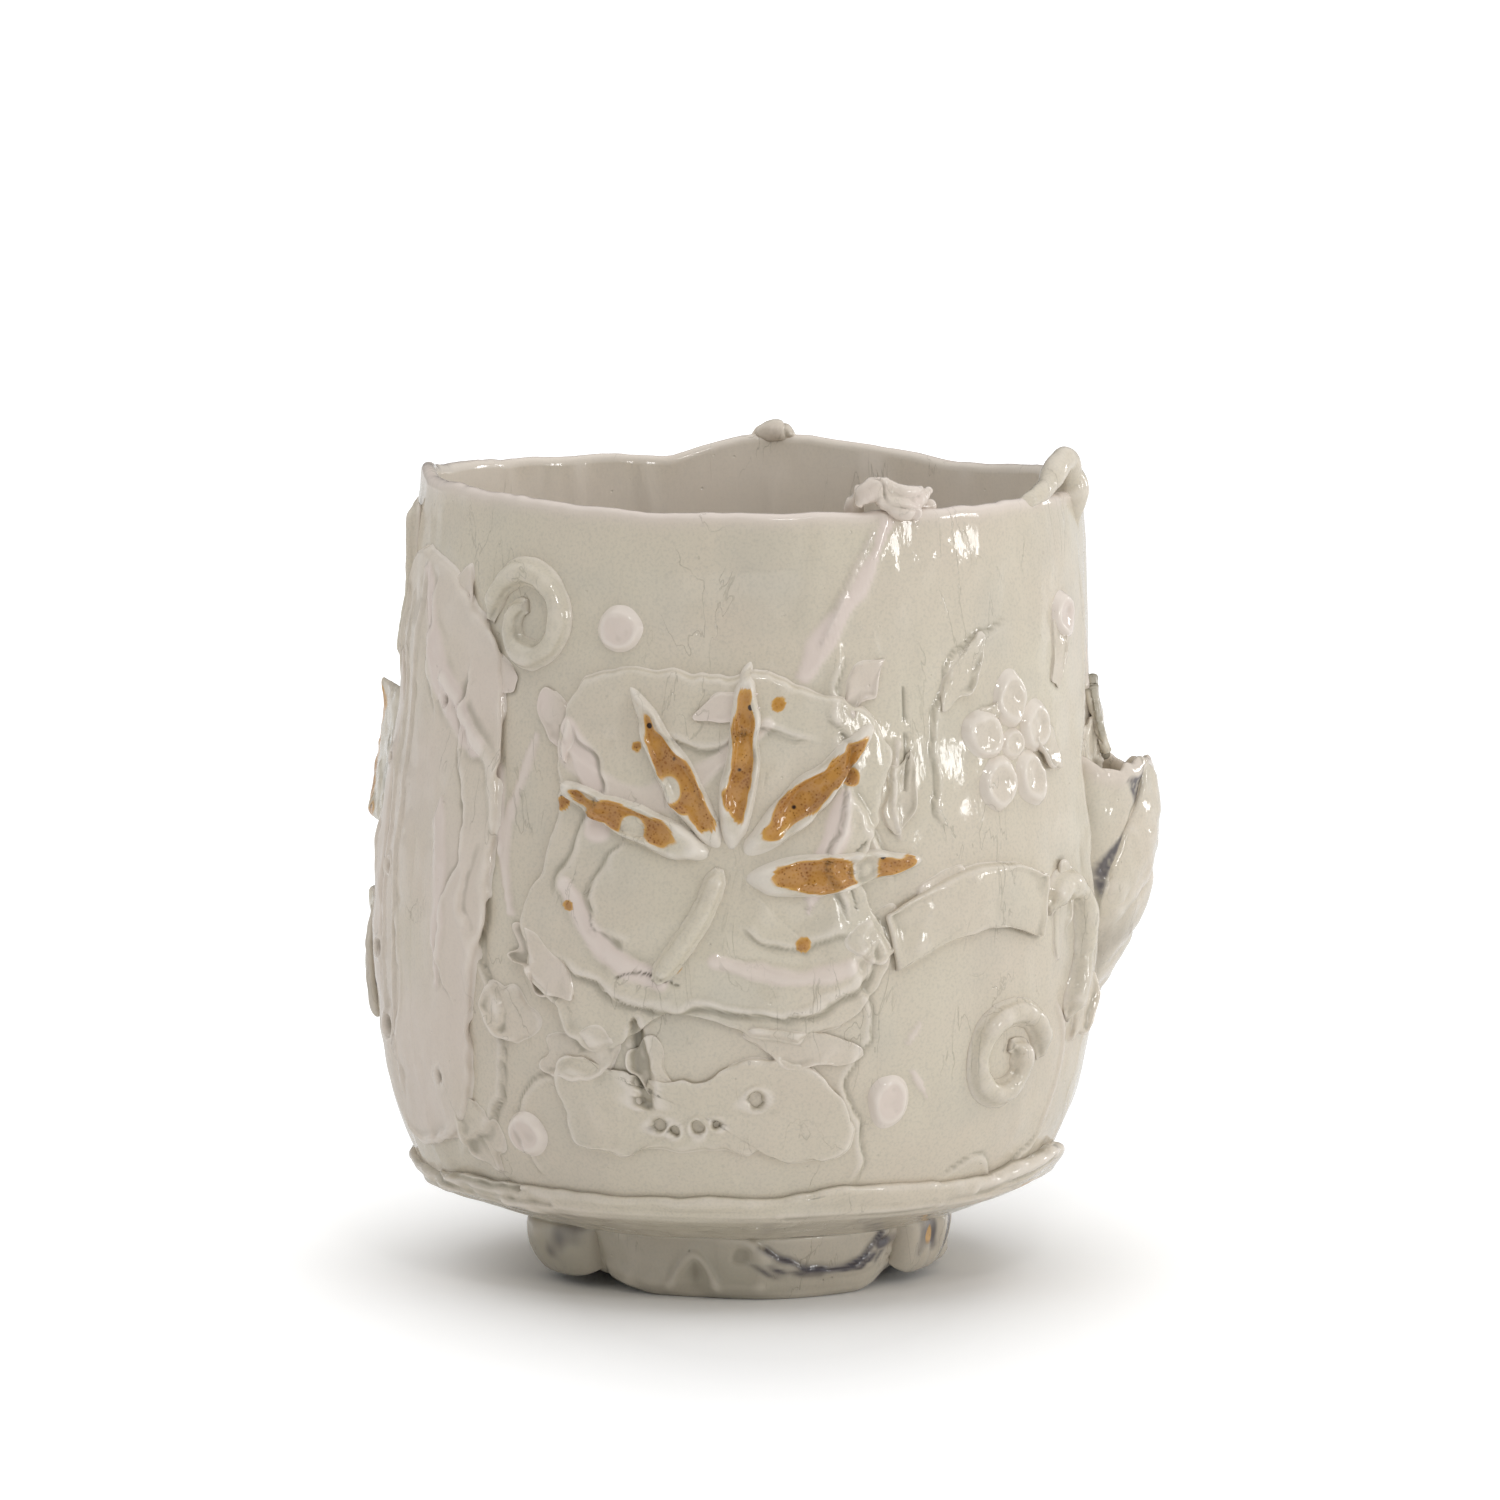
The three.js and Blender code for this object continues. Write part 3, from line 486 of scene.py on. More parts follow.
# %% The wall slab
GAP = 0.3
bearings = np.r_[
    np.linspace(-78, 78, 292, endpoint=False), np.linspace(78, 110, 38, endpoint=False),
    np.linspace(110, 250, 96, endpoint=False), np.linspace(250, 282, 38, endpoint=False),
]
from_front = np.abs((bearings[:, None] + 180) % 360 - 180)
sharpness = 0.25 + 0.75 * ease(from_front, 108, 92)
outer_rows, lip_rows, inner_rows = 182, 7, 22
INNER_STROKES = [
    # rise, half width, and the line as (bearing, height), all on the inside
    (0.55, 2.2, [(-150, 84), (-146, 76), (-150, 62)]), (0.5, 1.2, [(-128, 80), (-132, 72), (-126, 60)]),
    (0.5, 1.0, [(-160, 81), (-163, 74), (-158, 66)]), (0.5, 1.4, [(172, 80), (176, 72), (170, 64)]),
    (0.6, 2.6, [(160, 84), (152, 76), (156, 62)]), (0.3, 1.4, [(134, 80), (140, 70), (136, 56)]),
    (-0.35, 0.8, [(-139, 79), (-137, 72)]),
]


def inner_marks(bearing, height):
    x = (bearing - 180) % 360 * MM_PER_DEGREE
    total = 0
    for number, (rise, half_width, corners) in enumerate(INNER_STROKES):
        line = [((b - 180) % 360 * MM_PER_DEGREE, h) for b, h in corners]
        total = total + rise * ease(stroke(x, height, line, half_width, number + 360), 0, 0.7)
    return total


def wall_sections():
    """The wall's cross-sections, one for each bearing, from its lower outer edge over the lip."""
    b = bearings[:, None]
    on_circle = polar(b, RIM_RADIUS, 0)
    lip_wave = 0.16 * rumple(on_circle, 4.5, 5) + 0.1 * rumple(on_circle, 1.6, 6)
    top = rim_height(b) + lip_wave
    foot, shoulder = HIP_HEIGHT + GAP, top - 1.0
    heights = foot + (shoulder - foot) * np.linspace(0, 1, outer_rows)[None]
    thinning = 0.35 * ease(heights, RIM_HEIGHT - 6, RIM_HEIGHT)
    outer = wall_face(b, heights, sharpness) - thinning
    inside = foot + (shoulder - foot) * np.linspace(1, 0, inner_rows)[None]
    thickness = WALL_AT_HIP + (WALL_AT_RIM - WALL_AT_HIP) * (inside - HIP_HEIGHT) / (RIM_HEIGHT - HIP_HEIGHT)
    inner = outline(inside) + swell(b, inside) - thickness
    inner = inner + 0.3 * rumple(polar(b, inner, inside), 13, 7) + 0.16 * rumple(polar(b, inner, inside), 5, 8)
    inner = inner - inner_marks(b, inside) * ease(shoulder - inside, 0.5, 3)
    turn = np.linspace(0, 180, lip_rows + 2)[None, 1:-1]
    middle, half = (outer[:, -1:] + inner[:, :1]) / 2, (outer[:, -1:] - inner[:, :1]) / 2
    lip, lip_height = middle + half * cosine(turn), shoulder + 1.0 * sine(turn) ** 0.8
    return np.hstack([outer, lip, inner]), np.hstack([heights, lip_height, inside])


radii, heights = wall_sections()
points, faces = stitched(polar(bearings[:, None], radii, heights), loop=True)
rise, groove, blush = wall_marks(bearings[:, None], heights, sharpness)
row = np.arange(heights.shape[1])
on_outside, in_the_cup = row < outer_rows, row > outer_rows + lip_rows
lip_blush = ridge(row - outer_rows - 2, 3.0)
blush = np.maximum(blush * on_outside, np.maximum(lip_blush, 0.1 * in_the_cup))
# the inside of the cup, which is painted lighter further on, as painted light
painted_light_inside = np.tile(in_the_cup, len(bearings))
# the dark lines in the ledges' grooves and in the tears on the outside are painted shade
clay_body("wall", points, faces, "pale_glaze", ["wall_slab"], blush=blush, groove=groove * on_outside)

# %% [markdown]
# ## Base, foot and hip
# Under the wall sits a saucer of clay, and under that a strip bent into a ring and pinched on with
# the fingers: the foot. Two tongues are lapped over its outside, and a coil is pushed into the joint
# between wall and base. All are rings or stacks of rings, with the lumps of the hand added on.

# %% The base
FOOT_HEIGHT, FOOT_RADIUS, FOOT_FLARE, FOOT_THICKNESS, FOOT_LIFT = 6.2, 21.4, 1.2, 4, 1.7
FOOT_TUCK, RIGHT_LAP, LEFT_LAP, FLOOR_THICKNESS = 2.2, 66, -62, 3.8
around = np.linspace(0, 360, 560, endpoint=False)


def base_rings():
    under, floor = FOOT_HEIGHT + GAP, FOOT_HEIGHT + GAP + FLOOR_THICKNESS
    seat, edge = FOOT_RADIUS + FOOT_FLARE + GAP, HIP_RADIUS - WALL_AT_HIP
    profile = evenly([
        (0.5, under), (seat * 0.5, under), (seat - 1, under), (seat + 1, under + 0.4),
        (seat + 0.5 * (HIP_RADIUS - seat), under + 1.9), (HIP_RADIUS - 1.3, under + 3.5),
        (HIP_RADIUS - 0.2, HIP_HEIGHT - 0.7), (HIP_RADIUS - 0.3, HIP_HEIGHT), (edge, HIP_HEIGHT),
        (edge - 1.8, floor + 0.5), (edge - 5, floor), (edge / 2, floor - 0.1), (0.5, floor),
    ], 110)
    b = around[None]
    radius = profile[:, :1] * (1 + swell(b, profile[:, 1:]) / HIP_RADIUS)
    rings = polar(b, radius, profile[:, 1:] + 0 * b)
    lumpy = 0.25 * rumple(rings, 8, 11) + 0.1 * rumple(rings, 3, 12)
    rings[..., 2] += lumpy * ease(radius, 3, 10) * ease(profile[:, 1:] + 0 * b, under - 0.01, under + 0.3)
    return rings


rings = base_rings()
points, faces = stitched(rings)
# painted shade: the base is darker low down, below the hip, on its underside
shaded = with_poles(0.5 * ease(-rings[..., 2], -10.6, -8.6))
clay_body("base", points, faces, "pale_glaze", ["base_slab"], groove=shaded)

# %% [markdown]
# The foot is a strip bent into a ring. It stands on three pads, because its lower edge is lifted
# between them, and it flares towards the base. Folds, a tongue and a long crack lie on its front.
# They are lines again, now on the unrolled foot, and a dark stain follows the crack.

# %% The foot


def foot_lift(b):
    return FOOT_LIFT * np.maximum(0, -cosine(3 * (b - 5))) ** 1.5


def foot_radius(b, height):
    pinch = 0.35 * sine(5 * b) + 0.2 * sine(9 * b + 30)
    tuck = FOOT_TUCK * (bump(b, RIGHT_LAP, 24) + bump(b, LEFT_LAP, 26))
    return FOOT_RADIUS + pinch - tuck + FOOT_FLARE * height / FOOT_HEIGHT


def foot_sections():
    b = around[:, None]
    low = foot_lift(b)
    inner = foot_radius(b, 0) - FOOT_THICKNESS
    corners = [
        (foot_radius(b, 0) - 1.2, low), (foot_radius(b, 0) - 0.6, low + 0.05), (foot_radius(b, 1) - 0.15, low + 0.6),
        (foot_radius(b, 2) + 0.15, low + 1.5), (foot_radius(b, 4) - 0.1, (low + FOOT_HEIGHT) / 2),
        (foot_radius(b, FOOT_HEIGHT) + 0.1, FOOT_HEIGHT + 0.6), (inner, FOOT_HEIGHT + 0.6),
        (inner, 3 + 0 * b), (inner + 0.9, low),
    ]
    sections = np.stack([np.stack(np.broadcast_arrays(r, h), -1)[:, 0] for r, h in corners], 1)
    rings = np.stack([evenly(section, 76, closed=True) for section in sections])
    return rings[..., 0], rings[..., 1], inner


FOOT_FOLDS = [
    # rise, half width, and the line as (millimetres from the front, height)
    (0.35, 1.0, [(-13, 6), (-12, 3), (-13, 0)]), (0.3, 0.8, [(1.2, 6), (2, 3.4), (1.4, 0)]),
    (-0.3, 0.7, [(-17, 5.6), (-16.4, 3), (-17, 0)]),
]
FOOT_TONGUE = [(-8, 0.4), (-6.7, 3), (-4.9, 4.7), (-3.4, 3.2), (-2.4, 0.5)]
FOOT_CRACK = [(2.4, 5.6), (4.2, 4.3), (7, 3.3), (10, 3.1), (13, 4.0), (15.4, 6.2)]


radii, heights, inner = foot_sections()
b = around[:, None] + 0 * heights
x = ((b + 180) % 360 - 180) * math.radians(FOOT_RADIUS)
outside = ease(radii, inner + 2, inner + 3.2) * ease(heights, 0.1, 1.4)
dents = 0.5 * lumps(x, heights, 6, 14) + 0.16 * lumps(x, heights, 2.4, 15)
off = beside(x, heights, smooth_line(FOOT_TONGUE, 24))[0]
tongue = 0.3 * ridge(off, 0.4) - 0.6 * ease(-off, 0.0, 2.2) * (np.abs(off) < 3)
folds = sum(rise * ridge(beside(x, heights, smooth_line(line, 16))[0], width) for rise, width, line in FOOT_FOLDS)
below = -beside(x, heights + 0.3 * lumps(x, heights, 1.6, 16), smooth_line(FOOT_CRACK, 30))[0]
lapped = ease(below, -0.2, 0.2) * (np.abs(below) < 5) * ease(heights, 2, 3)
lap = lapped * (0.7 * np.exp(-np.maximum(below, 0) / 2) - 0.25 * ease(lumps(x, heights * 2, 1.8, 20), 0, 0.4))
radii = radii + outside * (dents + tongue + folds + lap)
smeared = ease(lumps(x * 0.5, heights * 1.6, 1.2, 17), -0.3, 0.25)
stain = ridge(below, 0.36) * (0.6 + 0.4 * smeared)
stain = stain + lapped * smeared * (0.85 * ridge(below - 0.9, 0.5) + 0.6 * ridge(below - 2.0, 0.35))
side = 0.75 * ease(lumps(x, heights, 2.6, 18), 0.1, 0.5) * ease(heights, 2.6, 4.5) * (x > 13)
stain = np.minimum(1.3 * np.maximum(stain, side), 1) * outside
points, faces = stitched(polar(b, radii, heights), loop=True)
clay_body("foot", points, faces, "foot_clay", ["foot_ring"], stain=np.clip(stain, 0, 1))

# %% [markdown]
# Two tongues of clay are lapped over the outside of the foot, one at each side. Each is a stack of
# closed rings across the tongue, large in the middle and small at its two ends.

# %% The two laps of the foot


def foot_lap(name, middle, half_width, seed, wide=0.0):
    """A tongue of clay lapped over the outside of the foot."""
    share = np.linspace(-1, 1, 90)[:, None]
    body = np.sqrt(np.maximum(0.02, 1 - np.abs(share) ** 2.6))
    b = middle + half_width * share
    turn = np.linspace(0, 360, 56, endpoint=False)[None]
    low = 0.9 + 1.6 * (1 - body)
    height = (low + FOOT_HEIGHT + 0.7) / 2 + (FOOT_HEIGHT + 0.7 - low) / 2 * sine(turn)
    out = 0.5 + 0.5 * cosine(turn)
    radius = foot_radius(b, height) - 0.6 + (FOOT_TUCK + 0.7 + wide + 0.12 * height) * body * out**0.6
    folds = 0.45 * lumps(b * 0.3, height * 0.3, 1.6, seed) + 0.2 * lumps(b * 0.4, height, 1.8, seed + 1)
    rings = polar(b, radius + folds * out * body, height + 0.2 * folds)
    points, faces = stitched(rings)
    # the sunk creases of the folds are darkened through the stain mask
    stain = with_poles(0.9 * ease(-folds, 0.1, 0.35) * out)
    spots = ease(lumps(b * 0.4, height, 2.5, seed + 2), 0.3, 0.6)
    amber = with_poles(0.7 * spots * ease(height, 3.5, 5) * out)
    clay_body(name, points, faces, "foot_clay", [name], stain=stain, amber=amber)


foot_lap("foot_lap_right", RIGHT_LAP, 15, 40)
foot_lap("foot_lap_left", LEFT_LAP, 17, 44, 0.9)

# %% [markdown]
# The hip coil was smeared down over the base with a thumb. So its section isn't round: it is a line from the wall
# over a soft crest down to the base, thin where it ends. Diagonal folds run along it. In places a thin line of
# painted shade along its upper edge stands for a crack where it has come loose, and its folds and low side are
# darkened with painted shade too.

# %% The coil round the hip
BASE_EDGE = [(6.6, 22.9), (6.9, 23.9), (8.4, 27.95), (10, 31.7), (10.8, 32.8), (11.5, 32.9)]
HIP_FOLDS = [
    # depth, half width, and the line as (bearing, height)
    (0.5, 0.4, [(-90, 14.2), (-76, 13.0), (-62, 11.6), (-47, 10.6)]),
    (0.35, 0.3, [(-57, 11.9), (-47, 11.3), (-36, 11.0)]),
    (0.6, 0.35, [(-78, 13.8), (-66, 13.0), (-54, 12.5), (-43, 12.4)]),
    (0.35, 0.3, [(47, 11.6), (60, 12.3), (70, 13.2)]),
    (0.4, 0.4, [(-84, 11.6), (-70, 10.6), (-56, 10.0), (-42, 9.6)]),
    (0.3, 0.28, [(8, 10.4), (22, 10.1), (37, 10.6)]),
]
HIP_PROFILE = [
    # down from the upper edge, outwards
    (5.2, -0.7), (4.7, -0.15), (4.2, 0.1), (3.2, 0.5), (2.2, 0.82), (1.4, 1.0), (0.8, 1.0),
    (0.35, 0.8), (0.1, 0.5), (0, 0.18), (0.02, 0), (0.1, -0.4), (0.9, -1),
]


def hip_sections():
    """A coil smeared down over the base. In places a thin line of painted shade along its upper edge stands for a
    crack.
    """
    b = np.linspace(0, 360, 900, endpoint=False)[:, None]
    around = polar(b, BELLY_RADIUS, 0)
    messy, flare = bump(b, -58, 22), bump(b, 72, 15)
    wavy = 0.75 * cosine(b - 10) + 0.4 * sine(3 * b)
    middle = 1.0 + wavy + (0.6 + 0.5 * messy) * rumple(around, 8, 51) + 1.8 * flare
    edge = 0.25 * rumple(around, 5, 53) + 0.12 * rumple(around, 1.7, 54)
    drop, raised = evenly(smooth_line(HIP_PROFILE, 80), 36).T[:, None]
    span = np.minimum(1, (HIP_HEIGHT + middle - 7.9) / 5.2)
    height = HIP_HEIGHT + middle - drop * span * (1 + 0.1 * rumple(around, 12, 52)) + edge * (drop < 1)
    below = np.interp(height, *zip(*BASE_EDGE)) * (1 + swell(b, height) / HIP_RADIUS)
    face = np.where(height > HIP_HEIGHT, wall_face(b, np.maximum(height, HIP_HEIGHT)), 0)
    share = ease(height, HIP_HEIGHT - 0.8, HIP_HEIGHT + 0.4)
    face = share * np.where(face > 0, face, below) + (1 - share) * below
    skin = polar(b, face, height)
    folds = 0.1 * rumple(skin, 2.4, 55)
    folds = folds + messy * (0.7 * rumple(skin * (0.5, 0.5, 1), 2, 57) + 0.4 * rumple(skin, 1.4, 58))
    x = ((b + 180) % 360 - 180) * MM_PER_DEGREE + 0 * height
    # painted shade: a thin dark line along the upper edge, in places, for a crack
    dark = 0.9 * ridge(drop, 0.1) * (raised < 0.55) * ease(rumple(around, 9, 59), -0.5, 0)
    for depth, width, line in HIP_FOLDS:
        line = smooth_line([(bearing * MM_PER_DEGREE, h) for bearing, h in line], 24)
        off = beside(x, height + 0.25 * rumple(skin, 2, 50), line)[0]
        crease = ridge(off, width)
        folds = folds - depth * crease + 0.6 * depth * ridge(off - 0.9, 0.6)
        # painted shade in the creases of the folds
        dark = np.maximum(dark, depth * crease)
    full = 1 + 0.7 * flare + 0.15 * messy - 0.5 * bump(b, -90, 20)
    radius = face + raised * full + folds * ease(raised, 0, 0.4)
    return b + 0 * height, radius, height, dark


b, radii, heights, dark = hip_sections()
skin = polar(b, radii, heights)
points, faces = stitched(skin, loop=True)
sides = np.maximum(bump(b, 66, 12), 0.8 * bump(b, -66, 9))
amber = 0.8 * sides * ease(rumple(skin, 4, 56), -0.1, 0.3) * ease(-heights, -11.6, -10.2)
# painted shade: darker low down, under the hip
dark = np.maximum(dark, 0.5 * ease(-heights, -10.6, -8.6))
clay_body("hip_coil", points, faces, "pale_glaze", ["hip_coil"], amber=amber, groove=dark)

# %% [markdown]
# ## Torn sheets
# A sheet of porcelain is rolled out, torn to shape and pressed on. Its edge is the telling part:
# it is ragged, in some places it has melted into the wall under the glaze, and in others it
# stands open as a dark crack with a curled lip. We lay rings from the middle to the torn outline,
# crowd them together near the edge, and let two edge profiles, a melted and an open one, take
# turns along the outline. The flat sheet is then laid on the wall by its rule.

# %% The edge of a torn sheet
# millimetres inwards from the edge, and the share of the sheet's thickness there
MELTED = [
    (2.4, 1), (1.9, 1), (1.4, 1), (1, 0.99), (0.7, 0.95), (0.45, 0.87), (0.25, 0.75),
    (0.1, 0.6), (0, 0.42), (-0.12, 0.22), (-0.3, 0.06), (-0.55, -0.1), (-0.7, -0.4),
]
OPEN = [
    (2.4, 1), (1.9, 1), (1.4, 1), (1, 1), (0.7, 1), (0.42, 0.98), (0.2, 0.92),
    (0.05, 0.8), (0, 0.64), (0.06, 0.5), (0.25, 0.4), (0.7, 0.3), (1.1, -0.4),
]
PROFILE_WIDTH = MELTED[0][0]
BITES = ((1, 5), (0.6, 2.2), (0.3, 1))
outlines = []


def lay(place, x, y, stand_off, ground=wall_face):
    """Points of a flat piece, in millimetres, laid on the wall round a place (bearing, share of height)."""
    bearing, height = place[0] + x / MM_PER_DEGREE, up_wall(place[1]) + y
    return polar(bearing, ground(bearing, height) + stand_off, height)


def shares(points, width, height):
    """Corners given as shares of half a sheet's width and height, in millimetres."""
    return [(px * width / 2, py * height / 2) for px, py in points]


def torn_outline(corners, tear, seed, step):
    """A ragged outline: bites of three sizes are torn out of a smooth one."""
    rough = smooth_line(corners, 200, closed=True)
    length = np.linalg.norm(np.diff(rough, axis=0), axis=1).sum()
    edge = smooth_line(corners, int(length / step), closed=True)
    way = np.roll(edge, -1, 0) - np.roll(edge, 1, 0)
    normal = np.stack([way[:, 1], -way[:, 0]], -1) / np.linalg.norm(way, axis=1)[:, None]
    jag = sum(share * lumps(*edge.T, size, seed) for share, size in BITES)
    return edge + normal * (tear * jag)[:, None]


def sheet_top(x, y, thickness, seed, surface):
    """The height of a sheet's upper face over the wall."""
    rise = thickness * (1 + 0.2 * lumps(x, y, 7, seed + 3)) + 0.14 * lumps(x, y, 4.5, seed + 4)
    rise = rise + 0.07 * lumps(x, y, 1.8, seed + 5)
    return rise + (surface(x, y) if surface else 0)


square = [(-5, -5), (5, -5), (5, 5), (-5, 5)]
print("A square torn out in", len(torn_outline(square, 0.5, 1, 0.3)), "points")

# %% [markdown]
# With outline, edge and ground at hand, one function makes any sheet. The surface of a sheet is handed in as a
# function as well, so that each sheet brings its own folds and holes, and so are the masks for the glaze, such as
# where amber lies and where painted shade darkens a groove or a hole.

# %% A torn sheet on the wall


def torn_sheet(
    name, place, corners, thickness, seed, replaced=(), tear=0.5, curl=0.35, surface=None, masks=None,
    step=0.3, ground=wall_face, melt=0.0, curl_way=None,
):
    """`melt` from -1 to 1 says how much of the edge has melted into the wall. With `curl_way`, in
    degrees, the sheet curls up on that side only and has melted on the other."""
    edge = torn_outline(corners, tear, seed, step)
    middle = edge.mean(0)
    reach = np.linalg.norm(edge - middle, axis=1)
    out = (edge - middle) / reach[:, None]
    rim = min(0.7, 0.6 * reach.min() / PROFILE_WIDTH)
    one_sided = curl_way is not None
    facing = out @ (cosine(curl_way), sine(curl_way)) if one_sided else np.zeros(len(out))
    melted = ease(lumps(*edge.T, 6, seed + 1) + melt - 0.9 * facing, -0.15, 0.3)[:, None, None]
    table = melted * np.array(MELTED) + (1 - melted) * np.array(OPEN)
    inward, share = rim * table[..., 0].T, table[..., 1].T
    curled = curl * (ease(facing, 0.1, 0.8) if one_sided else ease(lumps(*edge.T, 8, seed + 2), 0.0, 0.5))
    rows = max(6, int((reach.mean() - PROFILE_WIDTH * rim) / (1.25 * step)))
    inner = np.linspace(0.01, 1, rows, endpoint=False)[:, None]
    under = np.linspace(1, 0.02, 5)[:, None]
    distance = np.vstack([(reach - PROFILE_WIDTH * rim) * inner, reach - inward, (reach - 1.6 * rim) * under])
    x, y = middle[0] + distance * out[:, 0], middle[1] + distance * out[:, 1]
    lip = curled * ridge(reach - distance - 0.5 * rim, 0.8 * rim)
    top = sheet_top(x, y, thickness, seed, surface) + lip
    if one_sided:
        top = top * (0.55 + 0.45 * ease(distance / reach.max() * facing, -0.9, 0.3))
    height = np.full(x.shape, -0.4)
    height[:rows] = top[:rows]
    near = slice(rows, rows + len(MELTED))
    height[near] = np.where(share > 0, share * top[near] + 0.5 * (1 - share) * curled, share)
    points, faces = stitched(lay(place, x, y, height, ground))
    values = {key: with_poles(mask(x, y) + 0 * x) for key, mask in (masks or {}).items()}
    outlines.append(lay(place, *edge.T, np.zeros(len(edge))))
    clay_body(name, points, faces, "pale_glaze", replaced, **values)


def in_spots(x, y, spots, wobble, low, high, tall=1.0):
    """1 in ragged round spots, each an (x, y, radius), with a smooth step to 0 outside them."""
    off = [size - np.hypot(x - cx, (y - cy) / tall) + wobble for cx, cy, size in spots]
    return np.max(ease(np.array(off), low, high), axis=0)


def lips_round(x, y, spots, away, width):
    """The raised lip round torn holes."""
    return np.max([ridge(np.hypot(x - cx, y - cy) - size - away, width) for cx, cy, size in spots], axis=0)


print("The middle of a round spot:", in_spots(0.0, 0.0, [(0, 0, 1)], 0, -0.1, 0.1))

# %% [markdown]
# The panel on the front carries soft folds, finger dents and strokes of slip, with a few spots
# where amber glaze splashed. What is laid on the panel later has to follow it, so its top is kept as
# a ground of its own: the wall where there is no panel, and the panel's top where there is.

# %% The panel
PANEL_PLACE, PANEL_THICKNESS = (-5, 0.5), 0.8
PANEL = shares([
    (-0.8, 0.9), (-0.15, 1.05), (0.55, 0.95), (0.95, 0.63), (0.8, 0.05), (0.9, -0.53), (0.45, -0.9),
    (-0.15, -0.8), (-0.65, -1), (-1, -0.42), (-0.85, 0.21),
], 40, 38)
PANEL_LEDGES = [
    # rise, how far it fades, and the line
    (0.5, 9, [(-18, -8), (-11, -12.6), (-1, -14.6), (9, -14.4), (15, -11.6), (17, -5)]),
    (0.35, 4, [(-16, 15), (-12.4, 9), (-14, 2), (-16.6, -4)]),
    (0.4, 5, [(12, 17.5), (14.6, 9), (12.2, 1), (14.6, -6)]),
    (0.35, 3.5, [(-6, 14.6), (0, 12.6), (7, 14.6), (11, 12)]),
    (0.3, 4, [(3, -5), (8, -7.6), (15, -6)]), (0.3, 3, [(-9, 4), (-12, -3), (-8, -9)]),
]
PANEL_STROKES = [
    # rise, half width, how pink it fired, line
    (0.22, 2.0, 0.6, [(-17, 12), (-9, 7), (-3, 8.5), (6, 15)]), (0.28, 1.6, 1, [(-15, -2), (-11, -8), (-5, -11)]),
    (0.2, 1.2, 0.8, [(1, -9), (8, -11), (14, -10)]), (0.25, 1.8, 1, [(-16, 14), (-13, 9), (-12, 4)]),
    (0.2, 1.4, 1, [(14, 8), (12, 2), (10, -4)]), (-0.25, 0.18, 0, [(-10, -11.4), (-7, -10.4), (-3, -11.6)]),
    (-0.25, 0.2, 0, [(16, 3), (14, 0), (15, -4)]),
]
AMBER_SPOTS = [
    # x, y, radius
    (14.6, 9.5, 0.9), (-16.2, 6.4, 0.7), (-3.5, -9.6, 0.7), (9.5, -7.5, 0.6),
    (-15, -4, 0.5), (7.2, 17, 0.7), (-8, 12.5, 0.4), (16, -1, 0.5),
]


def panel_marks(x, y):
    return marks_on(x, y, PANEL_LEDGES, PANEL_STROKES, (300, 300))


def panel_surface(x, y):
    return 0.22 * lumps(x, y, 8, 61) + 0.1 * lumps(x, y, 3.2, 62) + panel_marks(x, y)[0]


def panel_amber(x, y):
    return in_spots(x, y, AMBER_SPOTS, 0.35 * lumps(x, y, 1.1, 63), -0.15, 0.15)


def panel_ground(bearing, height):
    """The wall's radius, or that of the panel's top where the panel is."""
    x, y = (bearing - PANEL_PLACE[0]) * MM_PER_DEGREE, height - up_wall(PANEL_PLACE[1])
    edge = torn_outline(PANEL, 0.9, 60, 1.5)
    off, along = beside(x, y, np.vstack([edge, edge[:1]]))
    inside = ease(off * np.sign(PANEL_INSIDE), -0.2, 0.9)
    return wall_face(bearing, height) + inside * sheet_top(x, y, PANEL_THICKNESS, 60, panel_surface)


PANEL_INSIDE = beside(np.array(0.0), np.array(0.0), np.array(PANEL + PANEL[:1]))[0]
panel_masks = {
    "blush": lambda x, y: panel_marks(x, y)[2],
    "groove": lambda x, y: panel_marks(x, y)[1],
    "amber": panel_amber,
}
torn_sheet(
    "front_panel", PANEL_PLACE, PANEL, PANEL_THICKNESS, 60, ["front_panel"],
    tear=0.9, curl=0.3, surface=panel_surface, masks=panel_masks, step=0.26,
)

# %% [markdown]
# The lower sheet hangs from under the panel and is torn through in a row of small holes. The two
# rear sheets are calm, as the back of such a cup is.

# %% The other sheets
HOLES = [
    # x, y, radius
    (-6.6, 4.8, 0.9), (-6.9, 3.0, 0.8), (-4.8, -1.4, 0.8), (-3.2, -2, 0.6),
    (-0.6, -1.6, 0.7), (1.4, -1.2, 0.5), (5.6, 1.4, 1.0), (-7, 1, 0.5),
]
LOWER = [(-1, 1), (-0.27, 0.6), (0.53, 1), (0.93, 0.4), (1, -0.8), (0.27, -1), (-0.53, -0.8), (-1, -0.6)]
REAR = [(-0.86, 0.73), (0, 0.97), (0.8, 0.73), (0.97, -0.24), (0.34, -1.03), (-0.63, -0.85), (-1.03, -0.12)]
LOW_REAR = [(-0.93, 0.72), (-0.13, 0.96), (0.8, 0.64), (1, -0.32), (0.2, -1.04), (-0.87, -0.72)]


def hole_depth(x, y):
    return in_spots(x, y, HOLES, 0.3 * lumps(x, y, 0.9, 71), -0.05, 0.35)


def holed(x, y):
    return 0.2 * lips_round(x, y, HOLES, 0.35, 0.3) - 0.95 * hole_depth(x, y)


# the holes are also painted dark, as painted shade
torn_sheet(
    "lower_sheet", (-6, 0.15), shares(LOWER, 30, 10), 0.6, 70, ["lower_sheet"],
    tear=0.9, curl=0.2, surface=holed, masks={"groove": hole_depth}, step=0.24, melt=0.2,
)
torn_sheet("rear_sheet", (152, 0.55), shares(REAR, 35, 33), 1, 80, ["rear_sheet"], tear=0.8, step=0.4)
torn_sheet("low_rear_sheet", (-140, 0.32), shares(LOW_REAR, 30, 25), 1, 90, ["low_rear_sheet"], tear=0.8, step=0.4)
